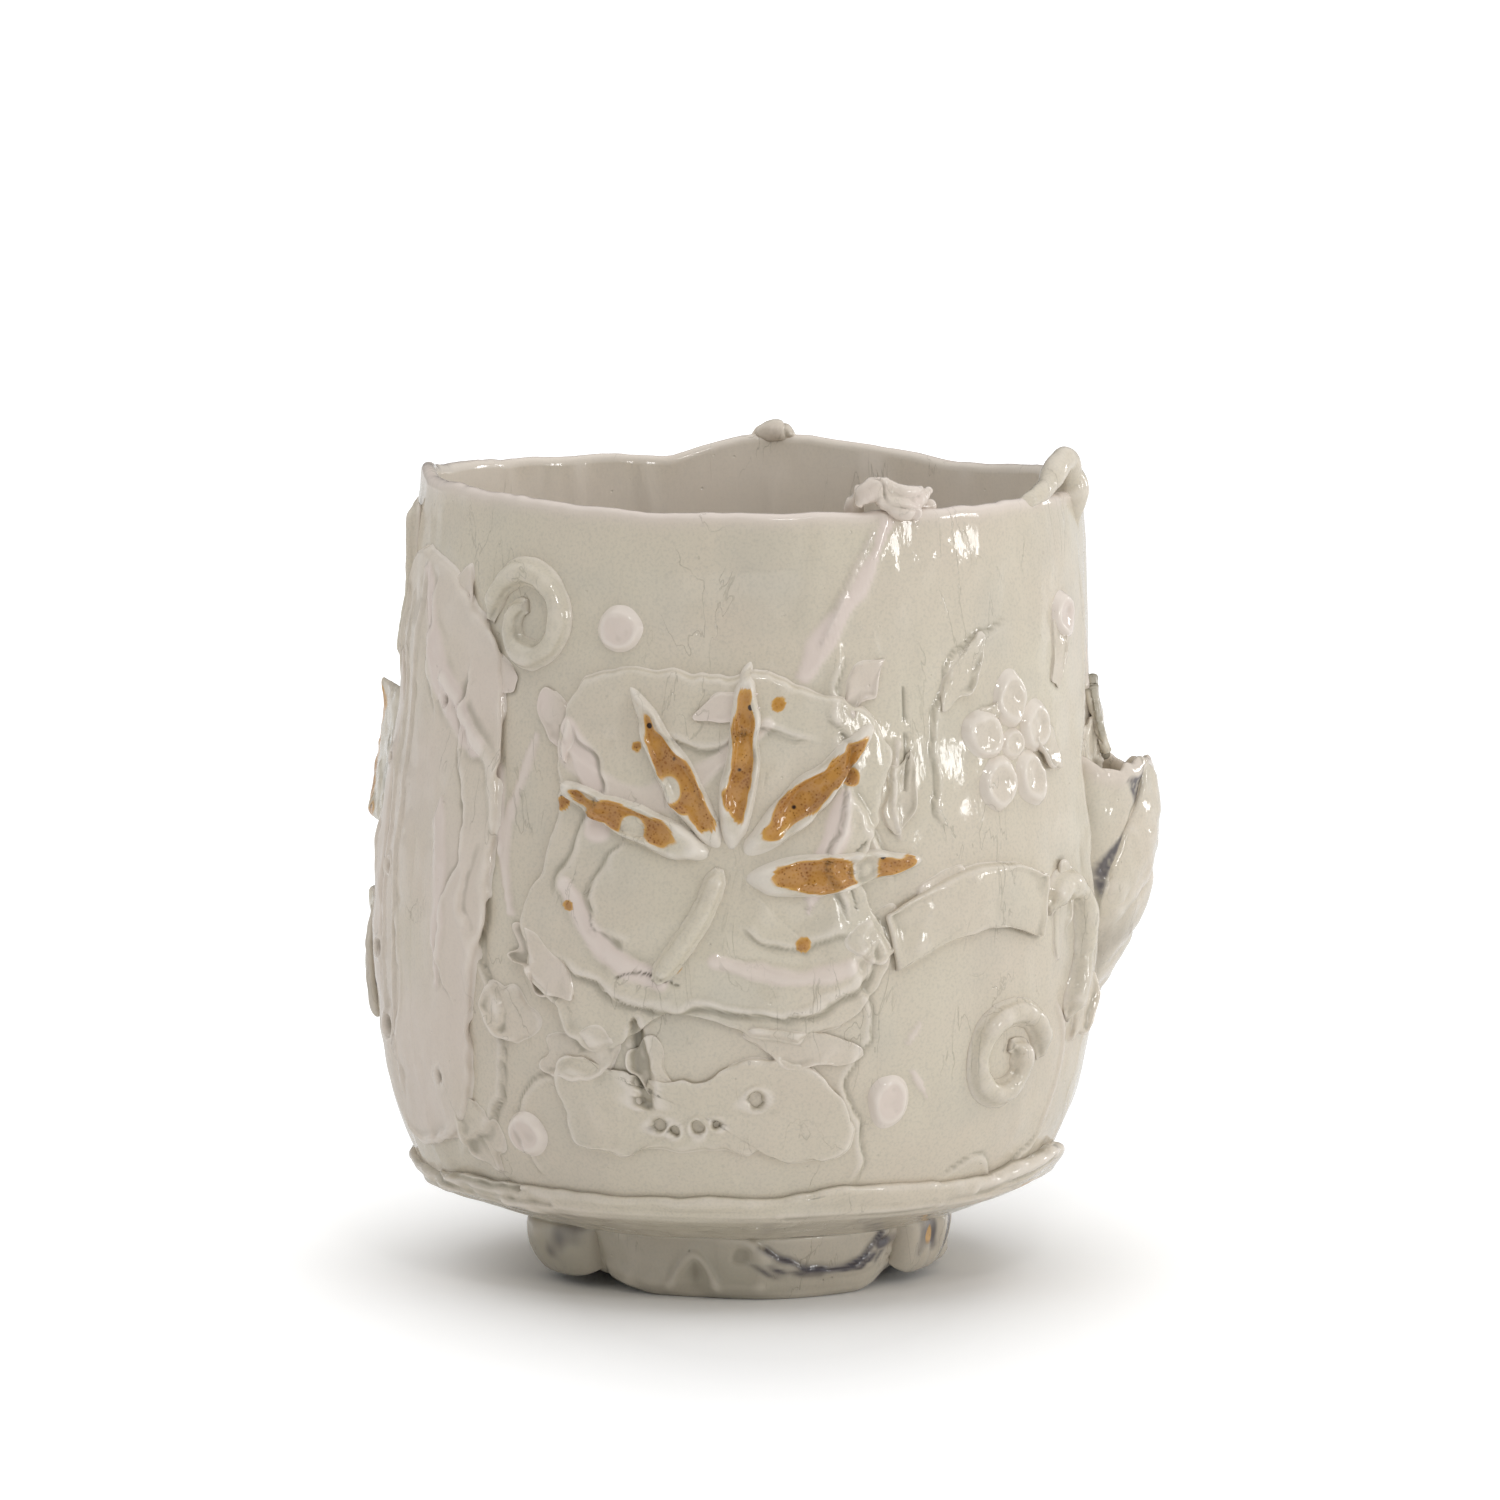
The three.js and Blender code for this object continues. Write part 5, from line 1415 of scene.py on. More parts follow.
def pocket_at(u, v):
    low = up_wall(POCKET_PLACE[1]) - POCKET_HEIGHT / 2
    round_out = np.sqrt(np.maximum(0, np.sin(np.pi * u)))
    opened = ease(v, -0.12, 0.62)
    stand_off = POCKET_REACH * round_out * opened - POCKET_THICKNESS / 2
    across = (u - 0.5) * POCKET_WIDTH * (0.3 + 0.7 * opened)
    bearing = POCKET_PLACE[0] + across / MM_PER_DEGREE
    height = low + POCKET_HEIGHT * v + lip_wave(u) * ease(v, 0.6, 1)
    return polar(bearing, outline(height) + swell(bearing, height) + stand_off, height)


def lipped_pocket(u, v):
    """The pocket with its uneven lip, which is rolled a little outwards."""
    outwards = polar(POCKET_PLACE[0] + (u - 0.5) * POCKET_WIDTH / MM_PER_DEGREE, 1, 0) - AXIS
    notch = 0.3 * lumps(u * 30, 0 * u, 2.2, 162)
    lip = ease(v, 0.75, 1.0) * (np.interp(u, *zip(*POCKET_LIP)) - lip_wave(u) + notch)
    crease = 0.5 * ridge(v - 0.36 - 0.5 * u, 0.03) + 0.4 * ridge(v - 0.2 - 0.3 * u, 0.03)
    sunk = 2.2 * ease(0.16 + 0.05 * np.sin(7 * u) - v, 0, 0.2)
    out = 0.5 * ease(v, 0.9, 1.0) - sunk - crease * np.sin(np.pi * u)
    return pocket_at(u, v) + outwards * out[..., None] + np.array([0, 0, 1]) * lip[..., None]


def pocket_stain(u, v):
    """A blue-grey crescent and a triangle beside the edge of the flap, and a faint smear below."""
    cells = 0.75 + 0.5 * lumps(u * 60, v * 60, 0.8, 161)
    before = flap_front(v) - u
    crescent = 0.045 * np.sin(np.pi * np.clip((v - 0.5) / 0.28, 0, 1))
    crescent = ease(before, -0.01, 0.01) * ease(crescent - before, -0.01, 0.02) * (v > 0.5) * (v < 0.78)
    corner = ease(before, 0, 0.01) * ease(1.1 * (v - 0.81) - before, 0, 0.03)
    corner = corner * ease(v, 0.81, 0.84) * ease(0.96 - v, 0, 0.02)
    faint = ease(0.5 - v, 0, 0.2) * ease(v, 0.15, 0.3) * ease(0.4 - u, 0, 0.2)
    faint = 0.25 * ease(lumps(u * 20, v * 20, 4, 163), 0, 0.5) * faint
    return np.clip((1.2 * crescent + corner) * cells + faint, 0, 0.9)


def flap_front(v):
    """How far round the pocket, from its front, the edge of the flap lies."""
    return 0.02 + 0.03 * ease(v, 0.45, 0.62) + 0.26 * ease(v, 0.6, 1.0) + 0.006 * np.sin(31 * v)


# painted shade: a thin dark line on the pocket along the flap's edge, for the crack
def flap_crack_shade(u, v):
    return ridge(u - flap_front(v) + 0.01, 0.009) * ease(v, 0.4, 0.46)


pocket_masks = {"stain": pocket_stain, "blush": lambda u, v: 0.5 * ease(v, 0.9, 0.98), "groove": flap_crack_shade}
bent_sheet("side_pocket", lipped_pocket, 1.3, 170, 120, 160, 0.06, 0.3, masks=pocket_masks)

# %% [markdown]
# The flap is made from the surface of the pocket itself, from the flap's front edge to behind the
# middle, moved off along the way that the pocket faces. So it follows every bend of the pocket. A
# second wave on top of that keeps it pressed down at its edges and loose between them.

# %% The flap


def flap_at(u, v):
    """The flap lies on the pocket: pressed down below and at the rear, loose in the middle."""
    pv = 0.4 + 0.57 * v
    pu = flap_front(pv) + (0.7 - flap_front(pv)) * u
    low = v + 0.1 * np.sin(6 * u + 1) + 0.05 * np.sin(17 * u)
    hug = -0.75 + 1.25 * ease(low, 0.06, 0.42) + 0.5 * np.sin(np.pi * np.clip(u / 0.7, 0, 1)) * ease(v, 0.3, 0.6)
    hug = hug - 1.1 * ease(u, 0.7, 1)
    return pocket_at(pu, pv) + facing_of(pocket_at, pu, pv) * hug[..., None]


bent_sheet("pocket_flap", flap_at, 0.9, 120, 100, 170, 0.1, 0.3, free_sides=True)

# %% [markdown]
# Three flakes hang on the wall by one edge and curl away from it, as bark does. A flake is a bent
# sheet too: v runs from the edge that holds to the edge that is free, and the further along it a
# point lies, the faster it rises.

# %% The peeling flakes


def flake(name, place, direction, size, rise, seed, amber=0.0):
    """A flake that peels off in a direction, in degrees on the unrolled wall."""

    def point_at(u, v):
        out = size * 9 * (v - 0.4) * (1 + 0.18 * np.sin(7 * u + place[0]))
        along = size * 12 * (u - 0.5)
        x = out * cosine(direction) - along * sine(direction)
        y = out * sine(direction) + along * cosine(direction)
        bearing, height = place[0] + x / MM_PER_DEGREE, up_wall(place[1]) + y
        stand_off = 0.3 + rise * 1.3 * v * v
        return polar(bearing, wall_face(bearing, height) + stand_off, height)

    def edge_amber(u, v):
        edge = np.maximum(v, np.minimum(2 * u - 1, v + 0.3))
        return 0.9 * amber * ease(edge + 0.2 * lumps(u * 12, v * 9, 2, seed), 0.84, 1.0)

    # painted shade: a dark ragged patch, as the shade in a hole, only on the flake with amber
    def painted_hole_shade(u, v):
        ragged = 0.1 * lumps(u * 12, v * 9, 1.5, seed)
        return amber * ease(0.13 - np.hypot(0.45 * (u - 0.6), v - 0.3) + ragged, 0, 0.08)

    masks = {"amber": edge_amber, "groove": painted_hole_shade}
    bent_sheet(name, point_at, 0.9, 70, 60, seed, 0.1, 0.45, free_sides=True, masks=masks)


flake("left_flake_upper", (-84, 0.61), 178, 1.2, 0.9, 180, amber=1)
flake("left_flake_lower", (-97, 0.3), 186, 1.15, 1.0, 190)
flake("right_flake", (87, 0.68), -88, 0.8, 0.85, 200)

# %% [markdown]
# ## The knot on the lip
# A pinch of leftover clay grips the lip. Lumps that run into each other are easiest to make as
# balls joined by a voxel remesh, which wraps one skin round them all. Creases come from noise.

# %% The knot and the crumb
KNOT_BEARING, KNOT_SIZE, BEAD_BEARING, SKIN_VOXEL = 27, 2.3, 174, 0.15
KNOT = [
    # rows of along the lip, outwards, up and radius, in shares of the knot's size
    [(-1.7, 0.0, 0.3, 0.3), (-1.35, 0.0, 0.8, 0.5), (-0.8, 0, 0.95, 0.55), (-0.2, 0.1, 0.5, 0.5),
     (0.5, 0.15, 0.3, 0.5), (1.1, 0.1, 0.4, 0.4), (1.8, -0.1, 0.75, 0.16)],
    [(-1.5, -0.5, 0.8, 0.3), (-1.6, -0.9, 0.1, 0.4), (-1.5, -0.9, -0.8, 0.4)],
    [(-0.6, 0.3, 0.4, 0.4), (0.1, 0.5, 0.05, 0.45), (0.7, 0.45, -0.1, 0.35)],
    [(0.6, -0.7, 0.2, 0.35), (1.3, -0.6, 0.1, 0.4), (2.1, -0.4, 0.1, 0.25)],
    [(-1.2, 0.3, 1.1, 0.2), (-0.7, 0.3, 1.25, 0.25), (-0.1, 0.3, 0.9, 0.25),
     (0.6, 0.3, 0.75, 0.3), (1.2, 0.1, 0.85, 0.15)],
]
BEAD = [[(-0.8, 0, -0.15, 0.3), (-0.2, 0, 0.1, 0.6), (0.4, 0.1, 0, 0.5), (0.9, 0, -0.2, 0.25)]]


def pinched_lump(name, coils, bearing, seed):
    """Balls along short coils, joined in one skin and creased."""
    joined, faces = [], []
    turn, down = np.linspace(0, 360, 20, endpoint=False), np.linspace(5, 175, 12)[:, None]
    ball = np.stack([sine(down) * cosine(turn), sine(down) * sine(turn), cosine(down) + 0 * turn], -1)
    for coil in coils:
        for along, out, up, radius in smooth_line(np.array(coil) * KNOT_SIZE, 14):
            points, ball_faces = stitched(on_lip(bearing, along, out, up) + radius * ball)
            start = sum(len(p) for p in joined)
            joined.append(points)
            faces += [[start + i for i in face] for face in ball_faces]
    mesh = bpy.data.meshes.new(name)
    mesh.from_pydata(np.vstack(joined).tolist(), [], faces)
    lump = put(name, mesh)
    remesh = lump.modifiers.new("skin", "REMESH")
    remesh.mode, remesh.voxel_size = "VOXEL", SKIN_VOXEL
    plain = shown_mesh(lump)
    points, faces = read_mesh(plain)
    crease = 0.22 * rumple(points, 1.9, seed) + 0.1 * rumple(points, 0.8, seed + 1)
    crease = crease - 0.3 * ridge(rumple(points, 2.6, seed + 2), 0.07)
    points = points + values_of(plain.vertices, "normal") * crease[:, None]
    blush = 0.5 + 0.5 * rumple(points, 2.5, seed + 3)
    clay_body(name, points, faces, "pale_glaze", [name], blush=blush)


pinched_lump("rim_knot", KNOT, KNOT_BEARING, 210)
pinched_lump("rim_bead", BEAD, BEAD_BEARING, 220)

# %% [markdown]
# ## Reading the relief
# Glaze runs off the edges, where it is thin and pale, and gathers in the hollows, where it is thick and darker. The
# darker hollows also stand in for the shade that falls in them, as painted shade. To paint that, each point needs to
# know if it is on an edge or in a hollow. We compare the mesh with a smoothed copy of itself: what stands above the
# copy is an edge.

# %% The relief mask
EDGE_WIDTH, FULL_RISE = 1.0, 0.16


def relief_mask(mesh):
    """1 on an edge and -1 in a hollow, of about EDGE_WIDTH in millimetres."""
    points, normals = values_of(mesh.vertices, "co") / MM, values_of(mesh.vertices, "normal")
    first, second = values_of(mesh.edges, "vertices", 2, np.int32).T
    count = len(points)
    degree = np.bincount(np.r_[first, second], minlength=count)[:, None]

    def smoothed(values):
        total = [np.bincount(first, c[second], count) + np.bincount(second, c[first], count) for c in values.T]
        return values / 2 + np.stack(total, -1) / np.maximum(degree, 1) / 2

    edge = np.median(np.linalg.norm(points[first] - points[second], axis=1))
    smooth = points
    for _ in range(int(np.clip((EDGE_WIDTH / edge) ** 2, 4, 26))):
        smooth = smoothed(smooth)
    above = np.einsum("ij,ij->i", points - smooth, normals)[:, None]
    for _ in range(2):
        above = smoothed(above)
    return np.clip((above[:, 0] - 0.6 * np.median(above)) / FULL_RISE, -1, 1)


for name, (piece, glaze, replaced) in clay.items():
    relief = relief_mask(piece.data)
    if name == "wall":
        # painted light: the whole inside of the cup gets the pale colour of an edge, which makes it lighter
        relief[painted_light_inside] = 1.0
    paint(piece.data, "relief", relief)
print("Relief read on", len(clay), "pieces")

# %% [markdown]
# Glaze also gathers along the foot of every sheet that is pressed on the wall, and shade falls there. A dark line is
# painted there, partly pooled glaze and partly painted shade. We kept the outline of each sheet, so the distance from
# a point of the wall to the nearest outline tells where it goes. A k-d tree finds that nearest point quickly.

# %% The glaze that pools round the sheets, with painted shade
POOL_AND_SHADE_WIDTH = 0.36
wall_mesh = clay["wall"][0].data
marks = kdtree.KDTree(sum(len(line) for line in outlines))
for i, point in enumerate(np.vstack(outlines) * MM):
    marks.insert(point, i)
marks.balance()
away = np.array([marks.find(vertex.co)[2] for vertex in wall_mesh.vertices]) / MM
broken = rumple(values_of(wall_mesh.vertices, "co") / MM, 6, 231)
pool_and_shade = ridge(away, POOL_AND_SHADE_WIDTH) * (0.3 + 0.7 * ease(broken, -0.2, 0.4))
layer = wall_mesh.attributes["groove"].data
groove = np.maximum(values_of(layer, "value", 1, np.float32)[:, 0], 0.8 * pool_and_shade)
layer.foreach_set("value", groove.astype(np.float32))
print("Points of the wall in a pool:", int((pool_and_shade > 0.5).sum()))

# %% [markdown]
# ## The glaze
# One clear glaze covers the whole cup, so its effects are node groups that all the materials share:
# how the colour shifts from hollow to edge, the amber glaze that was dropped on, and the fine
# ripples and pinholes of the surface. A group gives out only colours, heights, the roughness and a
# mask; the shader itself stays in each material. First the tint: clouds and specks in the clay,
# then pale edges, darker hollows of pooled glaze and painted shade, painted shade in cracks and
# holes, and stains over them, one layer after the other.

# %% The tint of the glaze
GROUND_TINT = (0.6, 0.56, 0.47, 1)
CREAM, GREYED, SPECK = (0.637, 0.546, 0.449, 1), (0.527, 0.494, 0.416, 1), (0.41, 0.384, 0.325, 1)
PINK, INK = (0.709, 0.611, 0.546, 1), (0.075, 0.065, 0.075, 1)
COLOUR_OUT = ("Color", "Color")


def mix_colour(tree, factor, a, b):
    return node(tree, "ShaderNodeMix", {0: factor, 6: a, 7: b}, data_type="RGBA").outputs[2]


def laid_over(tree, ground, colour, mask, low, high, most=1.0):
    """A colour over the ground where a mask goes from `low` to `high`, and up to `most` of it."""
    return mix_colour(tree, ranged(tree, mask, low, high, 0.0, most), ground, colour)


def mask_of(tree, name):
    return node(tree, "ShaderNodeAttribute", attribute_name=name, attribute_type="GEOMETRY").outputs["Fac"]


def on_piece(tree):
    """The place on the piece itself, in metres."""
    return node(tree, "ShaderNodeTexCoord").outputs["Object"]


def noise_at(tree, scale, detail):
    """Noise on the piece's own place, with a scale in lumps to the metre."""
    inputs = {"Vector": on_piece(tree), "Scale": scale, "Detail": detail}
    return node(tree, "ShaderNodeTexNoise", inputs).outputs["Fac"]


tint_tree, given, result = new_tree(
    "Glaze tint",
    [(ground, "Color", GROUND_TINT) for ground in ("Body", "Pooled_and_shade", "Edge")]
    + [(mask, "Float", 0.0) for mask in ("Relief", "Blush", "Stain", "Groove")],
    "ShaderNodeTree", (COLOUR_OUT,),
)
tint = laid_over(tint_tree, given["Body"], CREAM, noise_at(tint_tree, 60.0, 3.0), 0.35, 0.65, 0.5)
tint = laid_over(tint_tree, tint, GREYED, noise_at(tint_tree, 110.0, 3.0), 0.5, 0.75, 0.5)
tint = laid_over(tint_tree, tint, SPECK, noise_at(tint_tree, 3400.0, 3.0), 0.46, 0.72, 0.32)
tint = mix_colour(tint_tree, given["Blush"], tint, PINK)
# darker in hollows: partly pooled glaze, partly painted shade
tint = laid_over(tint_tree, tint, given["Pooled_and_shade"], given["Relief"], -0.2, -1.0, 0.55)
tint = laid_over(tint_tree, tint, given["Edge"], given["Relief"], 0.15, 1.0, 0.6)
# painted shade in cracks, grooves, holes and low under the hip
tint = laid_over(tint_tree, tint, given["Pooled_and_shade"], given["Groove"], 0.15, 1.0, 0.65)
tint_tree.links.new(mix_colour(tint_tree, given["Stain"], tint, INK), result["Color"])
print(tint_tree.name, "has", len(tint_tree.nodes), "nodes")

# %% [markdown]
# The amber glaze is honey-brown, thin and golden at its border, with a froth of tiny bubbles and a
# few that burst into pits. Cells of a Voronoi texture make both, since the middle of each cell is a
# ready place for a bubble. The pits are also given out as a height, so that they are real hollows.

# %% The amber that was dropped on
HONEY, CARAMEL, THIN_AMBER = (0.50, 0.24, 0.045, 1), (0.29, 0.115, 0.028, 1), (0.60, 0.34, 0.08, 1)
FROTH, PIT, BURST = (0.54, 0.29, 0.09, 1), (0.16, 0.06, 0.012, 1), (0.035, 0.018, 0.01, 1)
PIT_DEPTH = 0.00008


def cells_at(tree, scale):
    """The distance to the middle of the nearest cell, with a scale in cells to the metre."""
    return node(tree, "ShaderNodeTexVoronoi", {"Vector": on_piece(tree), "Scale": scale}).outputs["Distance"]


amber_tree, given, result = new_tree(
    "Amber pools", [("Ground", "Color", GROUND_TINT), ("Amber", "Float", 0.0)],
    "ShaderNodeTree", (COLOUR_OUT, ("Height", "Float")),
)
amber = laid_over(amber_tree, HONEY, CARAMEL, noise_at(amber_tree, 420.0, 3.0), 0.35, 0.65)
amber = laid_over(amber_tree, THIN_AMBER, amber, given["Amber"], 0.6, 1.0)
bubbles, rare = cells_at(amber_tree, 2900.0), ranged(amber_tree, noise_at(amber_tree, 1500.0, 1.0), 0.42, 0.58)
amber = laid_over(amber_tree, amber, FROTH, bubbles, 0.25, 0.5, 0.45)
pit = maths(amber_tree, "MULTIPLY", ranged(amber_tree, bubbles, 0.08, 0.2, 1.0, 0.0), rare)
amber = mix_colour(amber_tree, pit, amber, PIT)
burst = ranged(amber_tree, cells_at(amber_tree, 380.0), 0.1, 0.14, 1.0, 0.0)
amber = mix_colour(amber_tree, burst, amber, BURST)
covered = laid_over(amber_tree, given["Ground"], amber, given["Amber"], 0.1, 0.5)
amber_tree.links.new(covered, result["Color"])
sunk = maths(amber_tree, "MULTIPLY", maths(amber_tree, "MULTIPLY", pit, given["Amber"]), -PIT_DEPTH)
amber_tree.links.new(sunk, result["Height"])
print(amber_tree.name, "has", len(amber_tree.nodes), "nodes")

# %% [markdown]
# A glaze is never as flat as glass. It hangs in slow ripples that run down the wall, it has pinholes
# and, here and there, a hair-thin scratch. All of this is only hundredths of a millimetre deep, far
# too fine for the mesh, so it goes into a height for the bump node. It is what breaks up the
# reflections of the studio.

# %% The skin of the glaze
RIPPLES = [
    # lumps to the metre, detail, height in metres
    (300.0, 1.0, 0.00014), (900.0, 2.0, 0.00004), (2600.0, 1.0, 0.000012),
]
HOLE_DEPTH, SCRATCH_DEPTH = 0.00005, 0.00003


def stretched(tree, place, downwards):
    return node(tree, "ShaderNodeVectorMath", {0: place, 1: (1.0, 1.0, downwards)}, operation="MULTIPLY")


skin_tree, given, result = new_tree(
    "Glaze skin", [("Ripple", "Float", 1.0), ("Pitting", "Float", 1.0)],
    "ShaderNodeTree", (("Height", "Float"), ("Roughness", "Float"), ("Hairs", "Float")),
)
here = on_piece(skin_tree)
hanging, skin = stretched(skin_tree, here, 0.45), None
for scale, detail, rise in RIPPLES:
    waves = node(skin_tree, "ShaderNodeTexNoise", {"Vector": hanging, "Scale": scale, "Detail": detail})
    waves = maths(skin_tree, "MULTIPLY", waves, rise)
    skin = waves if skin is None else maths(skin_tree, "ADD", waves, skin)
skin = maths(skin_tree, "MULTIPLY", skin, given["Ripple"])
hole = ranged(skin_tree, cells_at(skin_tree, 420.0), 0.03, 0.07, -HOLE_DEPTH, 0.0)
skin = maths(skin_tree, "ADD", skin, maths(skin_tree, "MULTIPLY", hole, given["Pitting"]))
hairs = {"Vector": stretched(skin_tree, here, 0.3), "Scale": 260.0, "Detail": 4.0, "Distortion": 0.6}
hairs = maths(skin_tree, "SUBTRACT", node(skin_tree, "ShaderNodeTexNoise", hairs), 0.5)
hairs = ranged(skin_tree, maths(skin_tree, "ABSOLUTE", hairs), 0.002, 0.007, 1.0, 0.0)
rare = ranged(skin_tree, noise_at(skin_tree, 95.0, 2.0), 0.53, 0.6)
hairs = maths(skin_tree, "MULTIPLY", hairs, rare)
skin = maths(skin_tree, "ADD", skin, maths(skin_tree, "MULTIPLY", hairs, -SCRATCH_DEPTH))
skin_tree.links.new(skin, result["Height"])
skin_tree.links.new(hairs, result["Hairs"])
skin_tree.links.new(ranged(skin_tree, noise_at(skin_tree, 160.0, 3.0), 0.3, 0.7, 0.04, 0.13), result["Roughness"])
print(skin_tree.name, "has", len(skin_tree.nodes), "nodes")

# %% [markdown]
# Three materials come out of the three groups. They differ only in their colours and in how rippled
# and pitted the glaze is: pale on the wall, much the same round the amber leaves, and greyer and more
# pitted on the foot. Each reads the masks that we stored on the points of its pieces.

# %% The three glazes of the cup
GLAZE_IOR, SCRATCH_SHADE = 1.5, 0.28
GLAZES = {
    # body, darker in hollows and cracks (pooled glaze and painted shade), thin on an edge, ripple, pitting
    "pale_glaze": ((0.637, 0.577, 0.462, 1), (0.247, 0.221, 0.156, 1), (0.8, 0.73, 0.652, 1), 1.0, 1.0),
    "amber_glaze": ((0.637, 0.577, 0.462, 1), (0.247, 0.221, 0.156, 1), (0.8, 0.742, 0.671, 1), 1.0, 1.5),
    "foot_clay": ((0.47, 0.428, 0.34, 1), (0.195, 0.17, 0.124, 1), (0.676, 0.618, 0.52, 1), 1.2, 2.0),
}


def glaze_material(name, body, pooled_and_shade, edge, ripple, pitting):
    glaze = bpy.data.materials.new(name)
    glaze.use_nodes = True
    tree = glaze.node_tree
    shader = tree.nodes["Principled BSDF"]
    shader.inputs["IOR"].default_value = GLAZE_IOR
    colours = {"Body": body, "Pooled_and_shade": pooled_and_shade, "Edge": edge}
    masks = {mask.capitalize(): mask_of(tree, mask) for mask in ("relief", "blush", "stain", "groove")}
    tint = node(tree, "ShaderNodeGroup", colours | masks, node_tree=tint_tree)
    skin = node(tree, "ShaderNodeGroup", {"Ripple": ripple, "Pitting": pitting}, node_tree=skin_tree)
    scored = maths(tree, "MULTIPLY", skin.outputs["Hairs"], SCRATCH_SHADE)
    ground = mix_colour(tree, scored, tint.outputs["Color"], pooled_and_shade)
    amber = node(tree, "ShaderNodeGroup", {"Ground": ground, "Amber": mask_of(tree, "amber")}, node_tree=amber_tree)
    height = maths(tree, "ADD", skin.outputs["Height"], amber.outputs["Height"])
    raised = node(tree, "ShaderNodeBump", {"Strength": 1.0, "Distance": 1.0, "Height": height})
    tree.links.new(amber.outputs["Color"], shader.inputs["Base Color"])
    tree.links.new(skin.outputs["Roughness"], shader.inputs["Roughness"])
    tree.links.new(raised.outputs[0], shader.inputs["Normal"])
    return glaze


glazes = {name: glaze_material(name, *row) for name, row in GLAZES.items()}
print("Glazes:", ", ".join(glazes))

# %% [markdown]
# ## Putting the pieces in place
# Each piece takes its glaze, stands for its CAD nodes and rides on the one body of the cup.

# %% Glaze the pieces and set them on the frame
for name, (piece, glaze, replaced) in clay.items():
    piece.data.materials.clear()
    piece.data.materials.append(glazes[glaze])
    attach(piece, "root")
    if replaced:
        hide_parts(*replaced)
triangles = sum(len(face.vertices) - 2 for piece, _, _ in clay.values() for face in piece.data.polygons)
print("Triangles:", triangles)

# %% [markdown]
# ## Table, light and camera
# The cup stands on a pale sweep, a sheet of paper that was lit so brightly that it burns out to
# white away from the cup. A light strong enough for that would also burn out the cup. So the paper
# glows a little instead, more with the distance from the cup, and only where the camera sees it.

# %% The table
TABLE_HALF, TABLE_WHITE = 12.0, 0.93
GLOW_STARTS, GLOW_FULL, GLOW = 0.024, 0.07, 0.48
corners = [(x * TABLE_HALF, y * TABLE_HALF, 0) for x, y in ((-1, -1), (1, -1), (1, 1), (-1, 1))]
table_mesh = bpy.data.meshes.new("table")
table_mesh.from_pydata(corners, [], [(0, 1, 2, 3)])
table = put("table", table_mesh)
paper = bpy.data.materials.new("paper")
paper.use_nodes = True
tree = paper.node_tree
shader = tree.nodes["Principled BSDF"]
shader.inputs["Base Color"].default_value = (TABLE_WHITE, TABLE_WHITE, TABLE_WHITE, 1)
shader.inputs["Roughness"].default_value = 0.9
shader.inputs["Specular IOR Level"].default_value = 0.1
oval = node(tree, "ShaderNodeVectorMath", {0: on_piece(tree), 1: (1.1, 0.45, 1.0)}, operation="MULTIPLY")
from_cup = node(tree, "ShaderNodeVectorMath", {0: oval}, operation="LENGTH").outputs["Value"]
glow = ranged(tree, from_cup, GLOW_STARTS, GLOW_FULL, 0.0, GLOW)
glow = node(tree, "ShaderNodeEmission", {"Color": (1, 1, 1, 1), "Strength": glow})
seen = node(tree, "ShaderNodeLightPath").outputs["Is Camera Ray"]
dark = node(tree, "ShaderNodeEmission", {"Strength": 0.0})
chosen = node(tree, "ShaderNodeMixShader", {0: seen, 1: dark, 2: glow})
both = node(tree, "ShaderNodeAddShader", {0: shader, 1: chosen})
tree.links.new(both.outputs[0], tree.nodes["Material Output"].inputs["Surface"])
table_mesh.materials.append(paper)
table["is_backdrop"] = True
print("The table is", 2 * TABLE_HALF, "metres wide")

# %% [markdown]
# Three short softboxes in a row on the right, the last a little behind the cup, give the rippled
# white reflections, and a small one above the front gives a sheen on the lip. The rest of the light
# comes from the room. It is dark in front, brighter at both sides and brightest overhead, which
# shapes the barrel better than an even grey. The camera itself sees the room as plain white.

# %% The room and the softboxes
world = bpy.data.worlds.new("room")
bpy.context.scene.world = world
world.use_nodes = True
tree = world.node_tree
background = tree.nodes["Background"]
background.inputs["Color"].default_value = (1, 1, 1, 1)
way = node(tree, "ShaderNodeTexCoord").outputs["Generated"]
part = node(tree, "ShaderNodeSeparateXYZ", {0: way}).outputs
left = ranged(tree, part["X"], -0.1, -0.9, 0.12, 0.61)
right = ranged(tree, part["X"], 0.05, 0.9, 0.12, 0.82)
room = maths(tree, "MAXIMUM", left, right)
room = maths(tree, "ADD", room, ranged(tree, part["Z"], 0.45, 0.95, 0.0, 1.05))
seen = node(tree, "ShaderNodeLightPath").outputs["Is Camera Ray"]
tree.links.new(ranged(tree, seen, 0.0, 1.0, room, 1.0), background.inputs["Strength"])
STAND = Vector(AXIS * MM)
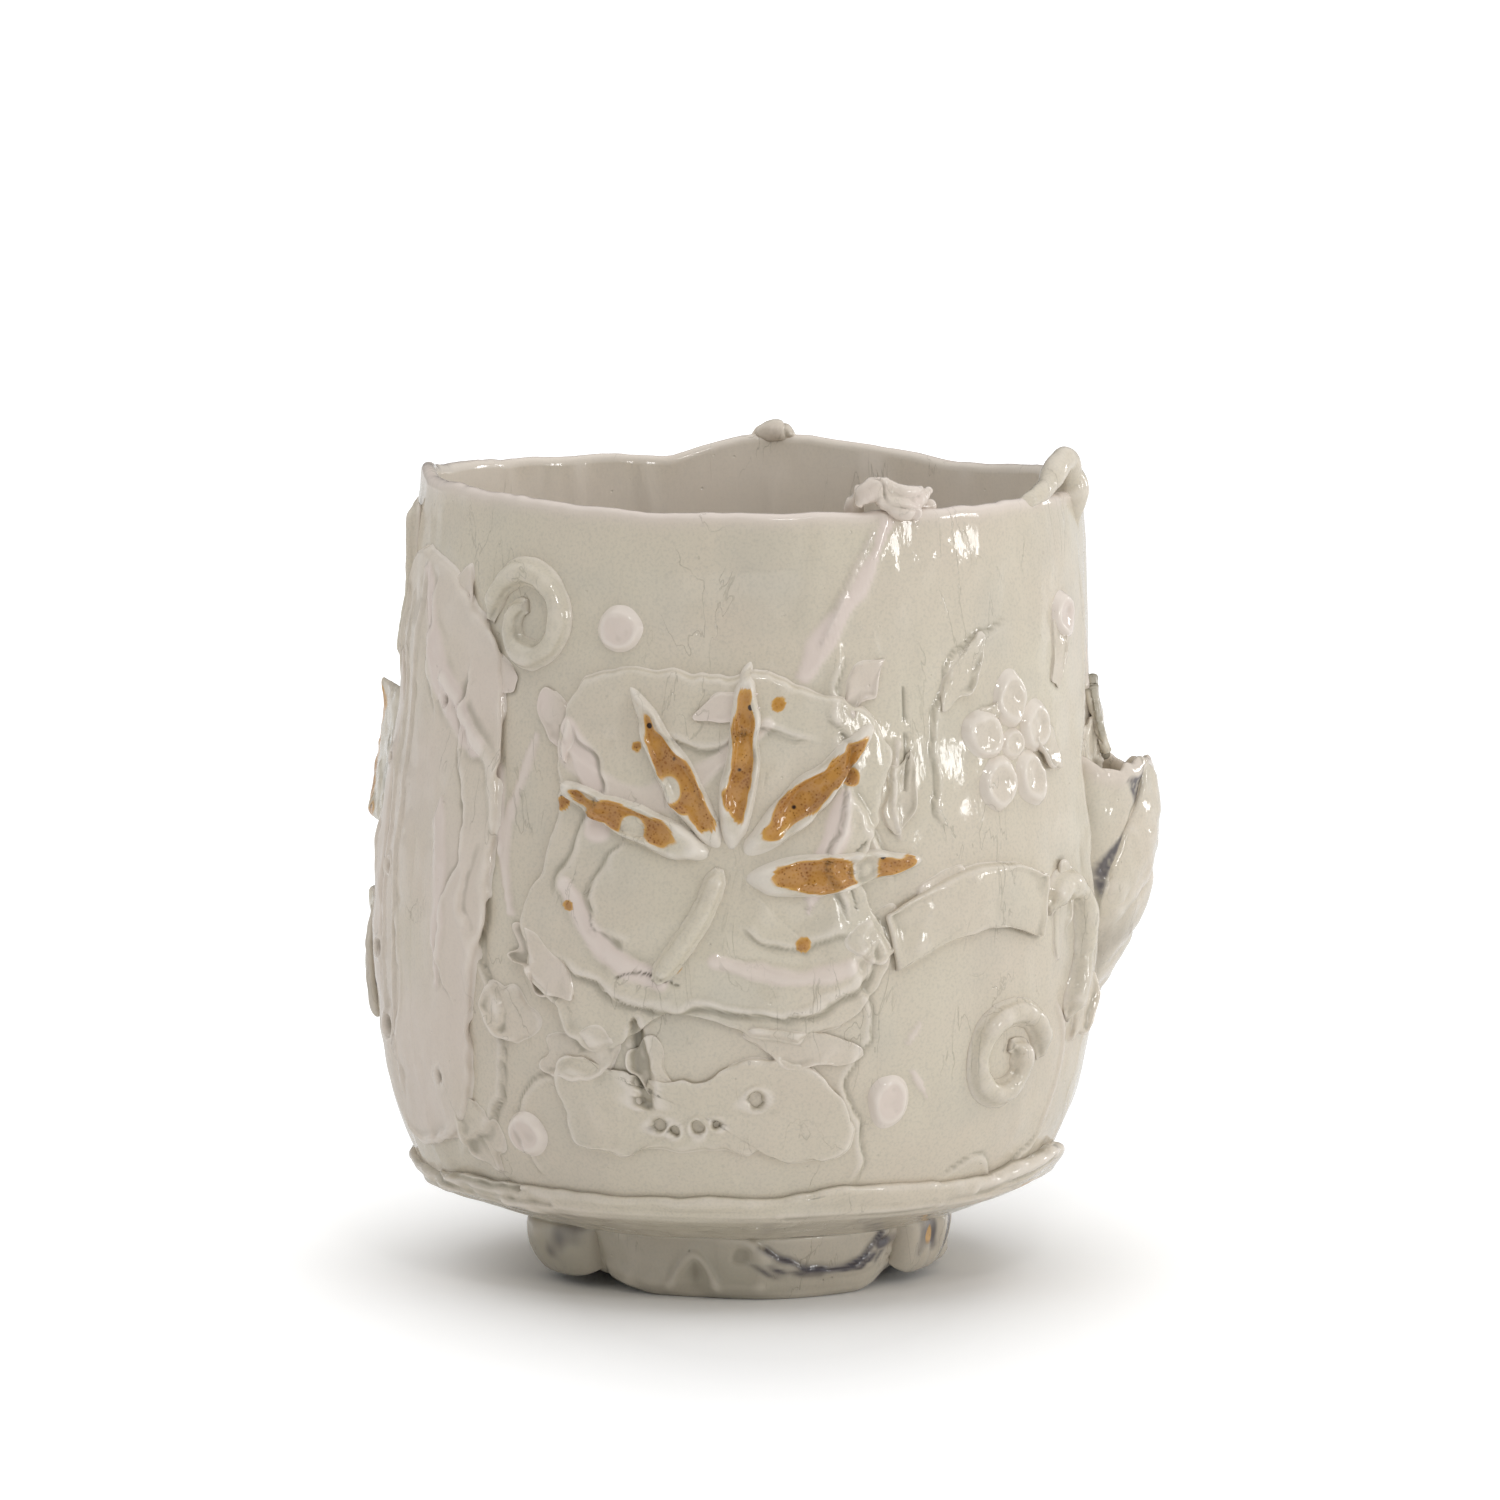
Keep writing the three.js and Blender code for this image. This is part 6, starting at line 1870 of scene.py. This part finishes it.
SOFTBOXES = {
    # azimuth from the front to the right, distance, height, width, tallness, watts
    "softbox_right": (48, 0.9, 0.21, 0.1, 0.19, 0.75),
    "softbox_far_right": (78, 1.0, 0.22, 0.09, 0.2, 0.68),
    "softbox_side": (121, 1.0, 0.22, 0.09, 0.22, 0.68),
    "softbox_top": (10, 0.8, 0.68, 0.12, 0.06, 0.68),
}


def look_from(name, data, place, aim):
    """Puts a lamp or a camera at a place and turns it to look at another."""
    holder = put(name, data)
    holder.location = place
    holder.rotation_euler = (aim - holder.location).to_track_quat("-Z", "Y").to_euler()
    return holder


for name, (azimuth, distance, height, width, tall, power) in SOFTBOXES.items():
    lamp = bpy.data.lights.new(name, "AREA")
    lamp.shape, lamp.size, lamp.size_y, lamp.energy = "RECTANGLE", width, tall, power
    place = STAND + Vector((distance * sine(azimuth), -distance * cosine(azimuth), height))
    look_from(name, lamp, place, STAND + Vector((0, 0, 0.045)))
print("Softboxes:", len(SOFTBOXES))

# %% [markdown]
# The camera stands a metre away and a little above the cup, with a long lens, so that the barrel
# hardly narrows with distance and the lip is seen as a flat ellipse. The colours are shown as they
# are, without a film curve.

# %% The camera
CAMERA_DISTANCE, CAMERA_HEIGHT, AIM_HEIGHT, AIM_RIGHT, FIELD = 1.0, 0.1795, 0.055, 0.0009, 8.98
SENSOR_WIDTH = 36
lens = bpy.data.cameras.new("camera")
lens.sensor_width = SENSOR_WIDTH
lens.lens = SENSOR_WIDTH / 2 / math.tan(math.radians(FIELD / 2))
aim = STAND + Vector((AIM_RIGHT, 0, AIM_HEIGHT))
camera = look_from("camera", lens, aim + Vector((0, -CAMERA_DISTANCE, CAMERA_HEIGHT - AIM_HEIGHT)), aim)
bpy.context.scene.camera = camera
bpy.context.scene.view_settings.view_transform = "Standard"
print("Lens, in mm:", round(lens.lens))

# %% [markdown]
# ## Finish
# The cup should still fill the box of its CAD model. Both boxes are set down side by side.

# %% Both sizes, side by side
def plain(box):
    return [[float(value) for value in corner] for corner in box]


{"cad": plain(cad_box), "looks": plain(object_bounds())}
print("Height of the CAD cup, in mm:", round((cad_box[1][2] - cad_box[0][2]) / MM, 1))
